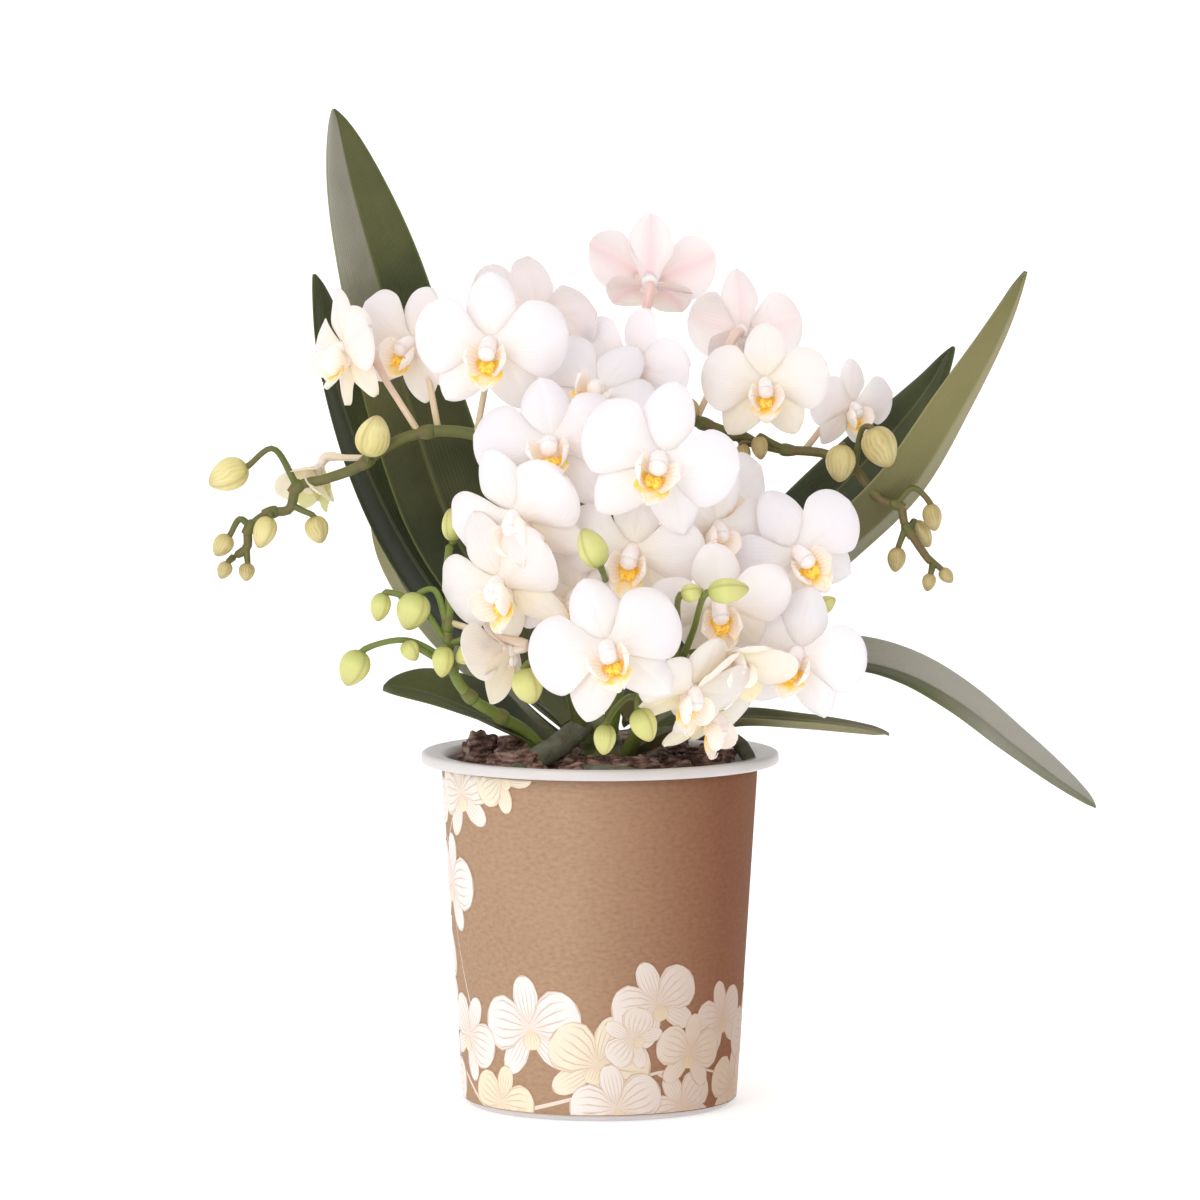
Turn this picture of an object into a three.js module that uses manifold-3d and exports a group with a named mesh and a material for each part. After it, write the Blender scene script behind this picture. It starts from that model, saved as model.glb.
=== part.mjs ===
// Miniature moth orchid (Phalaenopsis) in a paper-wrapped plastic cup.
// Frame: millimetres, +Z up, origin at the centre of the cup's flat base.
// -Y is the front, the side that most of the flowers face, and +X is the viewer's right.
//
// Each piece is a closed solid that its own function can make a little larger ("grow").
// A piece that presses on an earlier one is cut back from that one's grown solid, so the
// two keep a gap of CLEARANCE, as petals, stalks and leaves lie against each other.

import * as THREE from "three";
import { mergeVertices } from "three/addons/utils/BufferGeometryUtils.js";
import Module from "manifold-3d";

const wasm = await Module();
wasm.setup();

const { Vector3 } = THREE;
const CLEARANCE = 0.3;

// ---- Driving dimensions -------------------------------------------------------------

const RIM_RADIUS = 45; // the cup's rolled flange, its widest circle
const RIM_HEIGHT = 89;
const FLANGE_THICKNESS = 1.2;
const WRAP_TOP_RADIUS = 39.9; // outside of the paper, under the flange
const WRAP_FOOT_RADIUS = 34.3;
const WRAP_THICKNESS = 0.5;
const WRAP_FOOT = 1.6; // the paper stops just short of the surface it stands on
const WRAP_TOP = RIM_HEIGHT - 3.4;
const CUP_WALL = 0.9;
const CUP_FLOOR = 1.4;
const DRAIN_HOLES = 6;
const DRAIN_RADIUS = 3;
const DRAIN_CIRCLE = 21;
const BARK_TOP = 83; // mean level of the bark mix, below the flange
const BARK_LUMP = 2.2; // how far the bark chips stand above or below that level

const CROWN_RADIUS = 5.5;
const CROWN_TOP = 99;

const ROUND_SIDES = 32; // facets of the cup and its wrap
const EGG_SIDES = 5;
const EGG_RINGS = 3;

// ---- Solids from geometry -----------------------------------------------------------

// A closed three.js geometry as a manifold solid, turned the right way out.
function solid(geometry) {
  const bare = geometry.clone();
  bare.deleteAttribute("normal");
  bare.deleteAttribute("uv");
  const merged = mergeVertices(bare, 1e-4);
  const index = merged.index.array;
  const triangles = [];
  for (let i = 0; i < index.length; i += 3) {
    const [a, b, c] = [index[i], index[i + 1], index[i + 2]];
    if (a !== b && b !== c && c !== a) triangles.push(a, b, c);
  }
  const build = (triVerts) =>
    new wasm.Manifold(
      new wasm.Mesh({
        numProp: 3,
        vertProperties: new Float32Array(merged.attributes.position.array),
        triVerts: new Uint32Array(triVerts),
      }),
    );
  const made = build(triangles);
  return made.volume() > 0 ? made : build(triangles.reverse());
}

// A closed skin through a row of rings with the same number of points, capped at both ends.
function loft(rings) {
  const sides = rings[0].length;
  const middle = (ring) =>
    ring.reduce((sum, p) => sum.add(p), new Vector3()).divideScalar(sides);
  const points = [...rings.flat(), middle(rings[0]), middle(rings.at(-1))];
  const [first, last] = [points.length - 2, points.length - 1];
  const faces = [];
  for (let k = 0; k < sides; k++) {
    const next = (k + 1) % sides;
    for (let i = 0; i + 1 < rings.length; i++) {
      const [a, b] = [i * sides + k, i * sides + next];
      faces.push(a, b, b + sides, a, b + sides, a + sides);
    }
    const end = (rings.length - 1) * sides;
    faces.push(first, next, k, last, end + k, end + next);
  }
  const geometry = new THREE.BufferGeometry().setFromPoints(points);
  geometry.setIndex(faces);
  return solid(geometry);
}

// A solid of revolution about +Z from [radius, height] pairs.
function turned(profile, sides = ROUND_SIDES) {
  const points = profile.map(([r, z]) => new THREE.Vector2(r, z));
  return solid(new THREE.LatheGeometry(points, sides).rotateX(Math.PI / 2));
}

const point = ([x, y, z]) => new Vector3(x, y, z);
const curveOf = (points) =>
  new THREE.CatmullRomCurve3(points.map(point), false, "centripetal");

// A round stalk along a curve.
function stalk(curve, radius, steps, sides) {
  const corners = Array.from({ length: sides }, (_, k) => {
    const turn = (2 * Math.PI * k) / sides;
    return new THREE.Vector2(radius * Math.cos(turn), radius * Math.sin(turn));
  });
  const section = new THREE.Shape(corners);
  return solid(new THREE.ExtrudeGeometry(section, { steps, extrudePath: curve, bevelEnabled: false }));
}

// An ellipsoid of that length and width, pointing along a direction.
function egg(centre, direction, length, width, grow) {
  const shape = new THREE.SphereGeometry(1, EGG_SIDES, EGG_RINGS);
  shape.scale(width / 2 + grow, length / 2 + grow, width / 2 + grow);
  const turn = new THREE.Quaternion().setFromUnitVectors(
    new Vector3(0, 1, 0),
    direction.clone().normalize(),
  );
  shape.applyQuaternion(turn);
  shape.translate(centre.x, centre.y, centre.z);
  return solid(shape);
}

const joined = (solids) => solids.reduce((all, one) => all.add(one));

// ---- The cup, its paper wrap and the bark -------------------------------------------

const wrapRadius = (z) =>
  THREE.MathUtils.mapLinear(z, 0, RIM_HEIGHT, WRAP_FOOT_RADIUS, WRAP_TOP_RADIUS);
const cupRadius = (z) => wrapRadius(z) - WRAP_THICKNESS - CLEARANCE;
const cupInside = (z) => cupRadius(z) - CUP_WALL;

// Thin white cup: flat floor with drain holes, tapering wall, broad flange with a turned-down lip.
function cup() {
  const under = RIM_HEIGHT - FLANGE_THICKNESS;
  const wall = turned([
    [0, 0],
    [cupRadius(0) - 1.5, 0],
    [cupRadius(1.5), 1.5],
    [cupRadius(under - 1.5), under - 1.5],
    [WRAP_TOP_RADIUS + 1, under - 0.4],
    [RIM_RADIUS - 0.9, under - 0.5],
    [RIM_RADIUS, under - 1.3],
    [RIM_RADIUS - 0.4, RIM_HEIGHT - 0.2],
    [cupInside(RIM_HEIGHT) + 2, RIM_HEIGHT],
    [cupInside(under - 1.6), under - 1.6],
    [cupInside(CUP_FLOOR), CUP_FLOOR],
    [0, CUP_FLOOR],
  ]);
  const drill = new THREE.CylinderGeometry(DRAIN_RADIUS, DRAIN_RADIUS, 10, 8)
    .rotateX(Math.PI / 2)
    .translate(DRAIN_CIRCLE, 0, 0);
  const holes = Array.from({ length: DRAIN_HOLES }, (_, k) =>
    solid(drill.clone().rotateZ((2 * Math.PI * (k + 0.5)) / DRAIN_HOLES)),
  );
  return wall.subtract(joined(holes));
}

// The printed paper wrap: a plain conical band.
function wrap() {
  return turned([
    [wrapRadius(WRAP_FOOT) - WRAP_THICKNESS, WRAP_FOOT],
    [wrapRadius(WRAP_FOOT), WRAP_FOOT],
    [wrapRadius(WRAP_TOP), WRAP_TOP],
    [wrapRadius(WRAP_TOP) - WRAP_THICKNESS, WRAP_TOP],
    [wrapRadius(WRAP_FOOT) - WRAP_THICKNESS, WRAP_FOOT],
  ]);
}

// The bark mix fills the cup; its top is a lumpy surface that rises to the crown.
function barkBed() {
  const side = (z) => cupInside(z) - CLEARANCE;
  const rim = side(BARK_TOP);
  const shape = new THREE.LatheGeometry(
    [
      [0, CUP_FLOOR + CLEARANCE],
      [side(CUP_FLOOR) - 2, CUP_FLOOR + CLEARANCE],
      [side(CUP_FLOOR + 4), CUP_FLOOR + 4],
      [rim, BARK_TOP - 3],
      [rim * 0.86, BARK_TOP],
      [rim * 0.62, BARK_TOP + 0.5],
      [rim * 0.38, BARK_TOP + 1],
      [0, BARK_TOP + 1.5],
    ].map(([r, z]) => new THREE.Vector2(r, z)),
    20,
  ).rotateX(Math.PI / 2);
  const at = shape.attributes.position;
  for (let i = 0; i < at.count; i++) {
    const [x, y, z] = [at.getX(i), at.getY(i), at.getZ(i)];
    const inside = Math.hypot(x, y) < rim * 0.9 && z > BARK_TOP - 1;
    const lump = Math.sin(x * 0.55 + y * 0.9) * Math.cos(y * 0.6 - x * 0.35);
    if (inside) at.setZ(i, z + BARK_LUMP * lump);
  }
  return solid(shape);
}

// Loose pieces of bark on the bed: [x, y, z, length, width, height, turn about Z, tilt].
const BARK_CHIPS = {
  bark_chip_left: [-31, -6, 86.5, 9, 6, 9, 20, 12],
  bark_chip_front_left: [-22, -24, 86.5, 13, 8, 5, -35, 8],
  bark_chip_front: [8, -30, 86, 12, 8, 5, 15, -10],
  bark_chip_right: [29, -16, 86.5, 10, 8, 6, 60, 10],
  bark_chip_back: [6, 27, 86.5, 14, 9, 5, -20, 8],
  bark_chip_back_left: [-22, 20, 86.5, 11, 8, 5, 40, -8],
};

function barkChip([x, y, z, length, width, height, turn, tilt], grow = 0) {
  const shape = new THREE.IcosahedronGeometry(1, 0);
  shape.scale(length / 2 + grow, width / 2 + grow, height / 2 + grow);
  shape.rotateX(THREE.MathUtils.degToRad(tilt));
  shape.rotateZ(THREE.MathUtils.degToRad(turn));
  shape.translate(x, y, z);
  return solid(shape);
}

// ---- Crown, roots and leaves --------------------------------------------------------

// The short upright stem that the leaves clasp.
const crown = (grow = 0) =>
  turned(
    [
      [0, BARK_TOP - 6],
      [CROWN_RADIUS * 0.8 + grow, BARK_TOP - 6],
      [CROWN_RADIUS + grow, BARK_TOP + 4],
      [CROWN_RADIUS * 0.8 + grow, CROWN_TOP - 5],
      [0, CROWN_TOP + grow],
    ],
    12,
  );

// Thick air roots: the points they run through, and their radius.
const ROOTS = {
  root_front: { path: [[-4, -7, 96], [-12, -17, 91], [-19, -25, 87.5], [-21, -28, 85]], radius: 2.9 },
  root_right: { path: [[9, -4, 92], [24, -8, 94.5], [34, -10, 92.5], [38, -11, 87]], radius: 1.8 },
  root_rim: { path: [[-8, -27, 86.5], [2, -34, 87.5], [12, -33, 86.5]], radius: 1.8 },
};

const root = ({ path, radius }, grow = 0) => stalk(curveOf(path), radius + grow, 6, 6);

// A leaf: its midrib from the crown to the tip, the direction that its upper side faces,
// its full width, and how far its two halves fold up about the midrib, in degrees.
const LEAVES = {
  leaf_tall_left: {
    path: [[-5, 4, 97], [-18, 13, 112], [-36, 18, 140], [-47, 18, 170], [-56, 16, 205], [-63, 14, 231], [-67, 12, 250]],
    face: [0.42, -0.85, 0.25], width: 32, fold: 24,
  },
  leaf_outer_left: {
    path: [[-7, 6, 93], [-24, 20, 106], [-45, 27, 130], [-60, 28, 158], [-69, 25, 186], [-72, 22, 208]],
    face: [0.75, -0.55, 0.35], width: 30, fold: 24,
  },
  leaf_back_left: {
    path: [[-9, 9, 90], [-25, 28, 99], [-44, 38, 115], [-56, 40, 134], [-59, 38, 151]],
    face: [0.8, 0.1, 0.6], width: 24, fold: 20,
  },
  leaf_low_left: {
    path: [[-9, -3, 90], [-20, -9, 94], [-33, -15, 100.5], [-44, -18, 105], [-54, -19, 107]],
    face: [0.15, -0.4, 0.9], width: 27, fold: 26,
  },
  leaf_tall_right: {
    path: [[6, 0, 97], [20, 6, 106], [40, 8, 120], [60, 2, 138], [77, -3, 155], [90, -5, 176], [100, -5, 195], [106, -4, 210]],
    face: [-0.62, 0.6, 0.5], width: 24, fold: 22,
  },
  leaf_inner_right: {
    path: [[6, 5, 98], [20, 16, 112], [40, 22, 132], [60, 24, 152], [75, 22, 168], [84, 19, 180], [89, 16, 190]],
    face: [-0.5, -0.7, 0.5], width: 22, fold: 22,
  },
  leaf_arched_right: {
    path: [[8, -2, 92], [26, -1, 102], [46, 0, 109], [64, 0, 111], [77, -2, 108], [90, -5, 101], [103, -8, 91], [115, -11, 82], [124, -13, 76]],
    face: [0.35, -0.42, 0.85], width: 18, fold: 24,
  },
  leaf_low_right: {
    path: [[8, -7, 89], [20, -13, 94.5], [35, -18, 98], [50, -20, 97.5], [62, -21, 96.5], [72, -21, 95.5]],
    face: [0, -0.05, 1], width: 17, fold: 26,
  },
};
const LEAF_THICKNESS = 1.5;
const LEAF_STEPS = 8;

// A strap leaf narrows to its stalk and rounds off to a blunt point.
function leafHalfWidth(width, t) {
  const stem = 0.42 + 0.58 * THREE.MathUtils.smoothstep(t, 0, 0.42);
  return (width / 2) * stem * Math.pow(1 - Math.pow(t, 4.5), 0.7);
}

function leaf({ path, face, width, fold }, grow = 0) {
  const curve = curveOf(path);
  const facing = point(face).normalize();
  const rise = Math.sin(THREE.MathUtils.degToRad(fold));
  const run = Math.cos(THREE.MathUtils.degToRad(fold));
  const rings = [];
  for (let i = 0; i <= LEAF_STEPS; i++) {
    const t = Math.min(i / LEAF_STEPS, 0.985);
    const along = curve.getTangentAt(t);
    const up = facing.clone().addScaledVector(along, -facing.dot(along)).normalize();
    const side = new Vector3().crossVectors(along, up);
    const half = leafHalfWidth(width, t) + grow;
    const thick = LEAF_THICKNESS / 2 + grow;
    // [across, out of the surface] for each corner of the section, edges blunt.
    const section = [
      [-1, 0], [-0.5, thick], [0, thick], [0.5, thick],
      [1, 0], [0.5, -thick], [0, -thick * 1.3], [-0.5, -thick],
    ];
    rings.push(
      section.map(([across, out]) =>
        curve
          .getPointAt(t)
          .addScaledVector(side, across * half * run)
          .addScaledVector(up, Math.abs(across) * half * rise + out)
          .addScaledVector(along, i === LEAF_STEPS ? grow : 0),
      ),
    );
  }
  return loft(rings);
}

// ---- Flower spikes ------------------------------------------------------------------

// A bud on its stalk: centre, length, width, the way it points in the X-Z plane (degrees
// from +X towards +Z), how far its stalk arches up, and where on the spike it grows (0 to 1).
const SPIKES = {
  spike_left: {
    path: [
      [-4, -8, 93], [-9, -16, 115], [-13, -22, 138], [-17, -25, 156], [-24, -24, 167], [-33, -23, 170.5],
      [-44, -22, 170.5], [-52, -22, 167.5], [-60, -22, 162], [-68, -22, 159], [-75, -22, 157], [-77, -22, 151.5],
      [-82, -22, 150.5], [-87, -22, 146.5], [-87.5, -22, 142], [-91, -22, 139.5],
    ],
    radius: 1.7,
    buds: [
      { centre: [-56, -27, 170], length: 10.5, width: 9, points: 75, arch: 0, at: 0.72 },
      { centre: [-92, -23, 160], length: 10.5, width: 8.5, points: 205, arch: 7, at: 0.835 },
      { centre: [-70, -23, 146.5], length: 7, width: 6.2, points: 285, arch: 0, at: 0.865 },
      { centre: [-83, -25, 146], length: 8.3, width: 6, points: 250, arch: 0, at: 0.9 },
      { centre: [-93.5, -22, 142.5], length: 6.2, width: 5.2, points: 235, arch: 3, at: 0.94 },
      { centre: [-93, -24, 136.5], length: 4.6, width: 3.9, points: 245, arch: 0, at: 1 },
      { centre: [-87.5, -23, 136], length: 4.6, width: 4.2, points: 265, arch: 0, at: 0.975 },
    ],
  },
  spike_right: {
    path: [
      [3, 5, 96], [4, 6, 120], [3, 6, 145], [0, 3, 165], [1, 1, 178], [7, 1, 178.5], [12, 2, 175.5], [21, 3, 172.5],
      [28, 3, 170.5], [36, 2, 167.5], [45, 0, 165], [56, -2, 164], [63.5, -4, 160.5], [67, -6, 156], [70.5, -7, 152.5],
      [75, -8, 151], [76, -9, 147], [79.5, -10, 141.5], [83, -10, 136.5],
    ],
    radius: 1.6,
    buds: [
      { centre: [22, 2, 175.5], length: 7, width: 5, points: 130, arch: 0, at: 0.6 },
      { centre: [30.5, -1, 165.5], length: 5, width: 3.8, points: 250, arch: 0, at: 0.66 },
      { centre: [36, -2, 164], length: 5, width: 3.8, points: 285, arch: 0, at: 0.69 },
      { centre: [40, -3, 165.5], length: 6, width: 4.4, points: 275, arch: 0, at: 0.72 },
      { centre: [60, -9, 162], length: 9.4, width: 7.8, points: 265, arch: 1, at: 0.81 },
      { centre: [70, -9, 166], length: 10.8, width: 9.2, points: 295, arch: 5, at: 0.82 },
      { centre: [83, -9, 148.5], length: 7, width: 5, points: 280, arch: 4, at: 0.9 },
      { centre: [74, -10, 138], length: 6.3, width: 4.8, points: 262, arch: 0, at: 0.935 },
      { centre: [80.5, -5, 144], length: 7.5, width: 5.2, points: 300, arch: 0, at: 0.94 },
      { centre: [82, -12, 132.5], length: 4.6, width: 3.6, points: 258, arch: 0, at: 1 },
      { centre: [86.5, -10, 134], length: 4.4, width: 3.6, points: 310, arch: 0, at: 0.985 },
    ],
  },
  spike_low_left: {
    path: [
      [-13, -14, 88], [-18, -18, 95], [-25.5, -27, 101], [-31, -33, 105], [-35, -36, 110], [-37, -38, 116],
      [-37.5, -38, 122], [-37, -37, 130], [-37.5, -35, 138], [-37, -33, 144],
    ],
    radius: 1.5,
    buds: [
      { centre: [-46, -38, 127.5], length: 9.6, width: 8.6, points: 250, arch: 5, at: 0.72 },
      { centre: [-54, -37, 128.5], length: 7.2, width: 5.2, points: 258, arch: 4, at: 0.66 },
      { centre: [-60.5, -38, 113.5], length: 9.4, width: 7.8, points: 245, arch: 4, at: 0.6 },
      { centre: [-46.5, -40, 118], length: 5.5, width: 4.8, points: 300, arch: 0, at: 0.58 },
      { centre: [-38.5, -42, 115.5], length: 7.8, width: 5.6, points: 265, arch: 0, at: 0.62 },
      { centre: [-31.5, -42, 118], length: 9, width: 6.5, points: 212, arch: 1, at: 0.66 },
      { centre: [-36.5, -33, 148.5], length: 8.2, width: 5.4, points: 95, arch: 0, at: 1 },
    ],
  },
  spike_front: {
    path: [
      [2, -10, 92], [4, -20, 106], [4, -28, 122], [1, -32, 138], [-4, -30, 152], [-6, -24, 166], [-2, -18, 176],
      [8, -16, 182],
    ],
    radius: 1.7,
    buds: [
      { centre: [-2, -66, 145.5], length: 10.2, width: 7.4, points: 115, arch: 0, at: 0.42 },
      { centre: [-17.5, -52, 110.5], length: 9, width: 8, points: 285, arch: 4, at: 0.25 },
    ],
  },
  spike_low_right: {
    path: [
      [7, -11, 90], [11, -26, 99], [16, -35, 108], [22, -38, 117], [29, -36, 125], [36, -30, 132], [42, -22, 138],
    ],
    radius: 1.6,
    buds: [
      { centre: [31, -70, 135.5], length: 10, width: 6.4, points: 5, arch: 0, at: 0.5 },
      { centre: [22.3, -68, 134.8], length: 5.6, width: 4.7, points: 10, arch: 0, at: 0.48 },
      { centre: [55, -42, 129.5], length: 6.3, width: 4.6, points: 30, arch: 0, at: 0.8 },
      { centre: [1.2, -58, 98], length: 7.6, width: 5.7, points: 265, arch: 5, at: 0.3 },
      { centre: [10.8, -62, 102], length: 8.6, width: 6.8, points: 292, arch: 7, at: 0.34 },
    ],
  },
};
const BUD_STALK_RADIUS = 0.75;

// The curve of a stalk: out of the spike, over its arch, and into the end that it carries.
function stalkCurve(from, to, arch, lead) {
  const middle = from.clone().lerp(to, 0.5).add(new Vector3(0, 0, arch));
  return new THREE.CatmullRomCurve3([from, middle, to, to.clone().add(lead)], false, "centripetal");
}

function bud(spikeCurve, { centre, length, width, points, arch, at }, grow) {
  const angle = THREE.MathUtils.degToRad(points);
  const way = new Vector3(Math.cos(angle), 0, Math.sin(angle));
  const middle = point(centre);
  const base = middle.clone().addScaledVector(way, -length / 2);
  const curve = stalkCurve(spikeCurve.getPointAt(at), base, arch, way.clone().multiplyScalar(2));
  return stalk(curve, BUD_STALK_RADIUS + grow, 3, 4).add(egg(middle, way, length, width, grow));
}

function spike({ path, radius, buds }, grow = 0) {
  const curve = curveOf(path);
  const stem = stalk(curve, radius + grow, Math.round(path.length * 1.5), 5);
  return joined([stem, ...buds.map((one) => bud(curve, one, grow))]);
}

// ---- Flowers ------------------------------------------------------------------------

// The five flat parts of a flower that faces +Z with its top towards +Y: the way each points
// (degrees from +X), its length and width, how far its tip leans forward, how far it sits
// behind the heart, and how far its edges stand proud of its middle, in millimetres.
const TEPALS = [
  { points: 90, length: 17.5, width: 13, lean: 0, behind: 1, cupped: 0, round: 0.6 },
  { points: 14, length: 18.5, width: 19.5, lean: 1.5, behind: -0.5, cupped: 1.2, round: 0.45 },
  { points: 166, length: 18.5, width: 19.5, lean: 1.5, behind: -0.5, cupped: 1.2, round: 0.45 },
  { points: -56, length: 17.5, width: 12.5, lean: -0.5, behind: 1, cupped: 0, round: 0.6 },
  { points: 236, length: 17.5, width: 12.5, lean: -0.5, behind: 1, cupped: 0, round: 0.6 },
];
const TEPAL_THICKNESS = 1.1; // at the midrib, which stands out at the back
const TEPAL_STEPS = [0.06, 0.45, 0.75, 0.97];
const CLAW = 0.9; // half the width of a tepal where it leaves the column
const STALK_RADIUS = 0.95;
// The column and the lip in front of it, as one egg that holds the five parts together.
const LIP = { centre: new Vector3(0, -4, 3.5), points: new Vector3(0, -0.65, 0.8), length: 13.5, width: 9 };

function tepal({ points, length, width, lean, behind, cupped, round }, closing, grow) {
  const angle = THREE.MathUtils.degToRad(points);
  const way = new Vector3(Math.cos(angle), Math.sin(angle), 0);
  const side = new Vector3(-way.y, way.x, 0);
  const rings = TEPAL_STEPS.map((t, i) => {
    const reach = length * t + (i === 0 ? -grow : 2 * grow);
    const skew = 2 * Math.pow(t, 1.25) - 1;
    const blade = (width / 2) * Math.pow(1 - skew * skew, round) * (1 - 0.35 * closing);
    const half = (t < 0.1 ? CLAW : blade) + grow;
    const centre = way
      .clone()
      .multiplyScalar(reach * Math.cos(closing * 1.1))
      .setZ(lean * t * t - behind + reach * Math.sin(closing * 1.1));
    const at = (across, out) =>
      centre.clone().addScaledVector(side, across * half).setZ(centre.z + out);
    const front = cupped * t;
    return [
      at(-1, front + grow),
      at(-1, front - grow),
      at(0, -TEPAL_THICKNESS - 1.3 * grow),
      at(1, front - grow),
      at(1, front + grow),
    ];
  });
  return loft(rings);
}

// Each flower: the spike it grows on, the point its parts spread from, the way it faces
// (yaw right of the front and pitch above level), its roll, its size, and how far it is
// still closed (0 open, 1 shut), all angles in degrees.
const FLOWERS = {
  flower_01: { on: "spike_left", heart: [-63, -20, 191], yaw: -62, pitch: -8, roll: 12, size: 0.86 },
  flower_02: { on: "spike_left", heart: [-47, -12, 192], yaw: -30, pitch: -2, roll: -20, size: 0.86 },
  flower_03: { on: "spike_left", heart: [-27, -38, 193], yaw: -8, pitch: -4, roll: -3, size: 1 },
  flower_04: { on: "spike_front", heart: [-16, -10, 200], yaw: 150, pitch: 25, roll: 10, size: 0.95 },
  flower_05: { on: "spike_right", heart: [12.5, 3, 207], yaw: 178, pitch: 32, roll: 4, size: 0.95, closed: 0.38 },
  flower_06: { on: "spike_right", heart: [8.5, -18, 187], yaw: -35, pitch: -12, roll: -14, size: 0.85 },
  flower_07: { on: "spike_right", heart: [36, 13, 194], yaw: 155, pitch: 10, roll: 0, size: 0.85, closed: 0.15 },
  flower_08: { on: "spike_right", heart: [41, -14, 182], yaw: 2, pitch: -6, roll: 0, size: 0.8 },
  flower_09: { on: "spike_right", heart: [63, 2, 175.5], yaw: 35, pitch: -12, roll: 0, size: 0.66 },
  flower_10: { on: "spike_left", heart: [-20, -52, 152], yaw: -30, pitch: -22, roll: 24, size: 1 },
  flower_11: { on: "spike_front", heart: [-24, -50, 135.5], yaw: -36, pitch: -18, roll: 20, size: 1 },
  flower_12: { on: "spike_front", heart: [14, -62, 166.5], yaw: 4, pitch: 0, roll: -17, size: 1.05 },
  flower_13: { on: "spike_front", heart: [8, -52, 143.5], yaw: -12, pitch: -14, roll: -10, size: 0.95 },
  flower_14: { on: "spike_low_right", heart: [2, -72, 121.5], yaw: -6, pitch: 0, roll: 20, size: 1 },
  flower_15: { on: "spike_low_right", heart: [48.5, -38, 142], yaw: 22, pitch: -8, roll: 32, size: 0.95 },
  flower_16: { on: "spike_low_right", heart: [48.5, -44, 117.5], yaw: -14, pitch: -6, roll: -14, size: 0.95 },
  flower_17: { on: "spike_low_right", heart: [29, -52, 131], yaw: 4, pitch: -30, roll: 8, size: 0.95 },
  flower_18: { on: "spike_low_right", heart: [33, -54, 118.5], yaw: 30, pitch: -48, roll: 0, size: 0.8, closed: 0.5 },
  flower_19: { on: "spike_low_right", heart: [22, -60, 110.5], yaw: 35, pitch: -40, roll: -10, size: 0.85 },
  flower_20: { on: "spike_low_right", heart: [28, -42, 102], yaw: 60, pitch: -45, roll: 0, size: 0.8 },
  flower_21: { on: "spike_low_left", heart: [-22, -42, 118], yaw: -115, pitch: -20, roll: 0, size: 0.8, closed: 0.35 },
  flower_22: { on: "spike_front", heart: [29, -20, 153], yaw: 30, pitch: 0, roll: 20, size: 0.85 },
  flower_23: { on: "spike_front", heart: [28, -44, 149], yaw: 30, pitch: -15, roll: -15, size: 0.85 },
  flower_24: { on: "spike_front", heart: [-12, -48, 169], yaw: -8, pitch: 14, roll: 10, size: 1 },
  flower_25: { on: "spike_front", heart: [-1, -30, 181], yaw: 5, pitch: 28, roll: -40, size: 0.9 },
  flower_26: { on: "spike_front", heart: [-6, -46, 132], yaw: -10, pitch: -6, roll: 5, size: 0.9 },
  flower_27: { on: "spike_left", heart: [-73, -14, 158], yaw: -40, pitch: -45, roll: 0, size: 0.62, closed: 0.7 },
};

const spikeCurves = Object.fromEntries(
  Object.entries(SPIKES).map(([name, { path }]) => [name, curveOf(path)]),
);

// The place on a spike nearest to a point.
function nearestOn(curve, target) {
  const steps = 60;
  const places = Array.from({ length: steps + 1 }, (_, i) => curve.getPointAt(i / steps));
  return places.reduce((best, p) => (p.distanceTo(target) < best.distanceTo(target) ? p : best));
}

function flower({ on, heart, yaw, pitch, roll, size, closed = 0 }, grow = 0) {
  const rad = THREE.MathUtils.degToRad;
  // Local +Z is the way the flower faces and +Y its top, so yaw 0 has +Z along -Y.
  const turn = new THREE.Matrix4()
    .makeRotationZ(rad(yaw))
    .multiply(new THREE.Matrix4().makeRotationX(rad(90 - pitch)))
    .multiply(new THREE.Matrix4().makeRotationZ(rad(roll)));
  const place = new THREE.Matrix4()
    .makeTranslation(...heart)
    .multiply(turn)
    .multiply(new THREE.Matrix4().makeScale(size, size, size));
  const extra = grow / size;
  const head = [
    ...TEPALS.map((one) => tepal(one, closed, extra)),
    egg(LIP.centre, LIP.points, LIP.length, LIP.width, extra),
  ];
  const facing = new Vector3(0, 0, 1).transformDirection(turn);
  const back = point(heart);
  const behind = back.clone().addScaledVector(facing, -6 * size);
  const foot = nearestOn(spikeCurves[on], back.clone().addScaledVector(facing, -16));
  const curve = new THREE.CatmullRomCurve3([foot, foot.clone().lerp(behind, 0.55), behind, back], false, "centripetal");
  return joined([
    ...head.map((one) => one.transform(place.elements)),
    stalk(curve, STALK_RADIUS + grow, 3, 4),
  ]);
}

// ---- Assembly -----------------------------------------------------------------------

const COLOURS = {
  cup: ["#f3f2ee", 0.45],
  wrap: ["#b98f69", 0.85],
  bark: ["#4a2c22", 0.9],
  crown: ["#5d7440", 0.6],
  root: ["#7d8069", 0.7],
  leaf: ["#4a5a36", 0.45],
  spike: ["#6f7f3c", 0.55],
  flower: ["#f8efec", 0.5],
};

const orchid = new THREE.Group();
const placed = []; // pieces made so far: name, solid and how to make it larger

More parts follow.
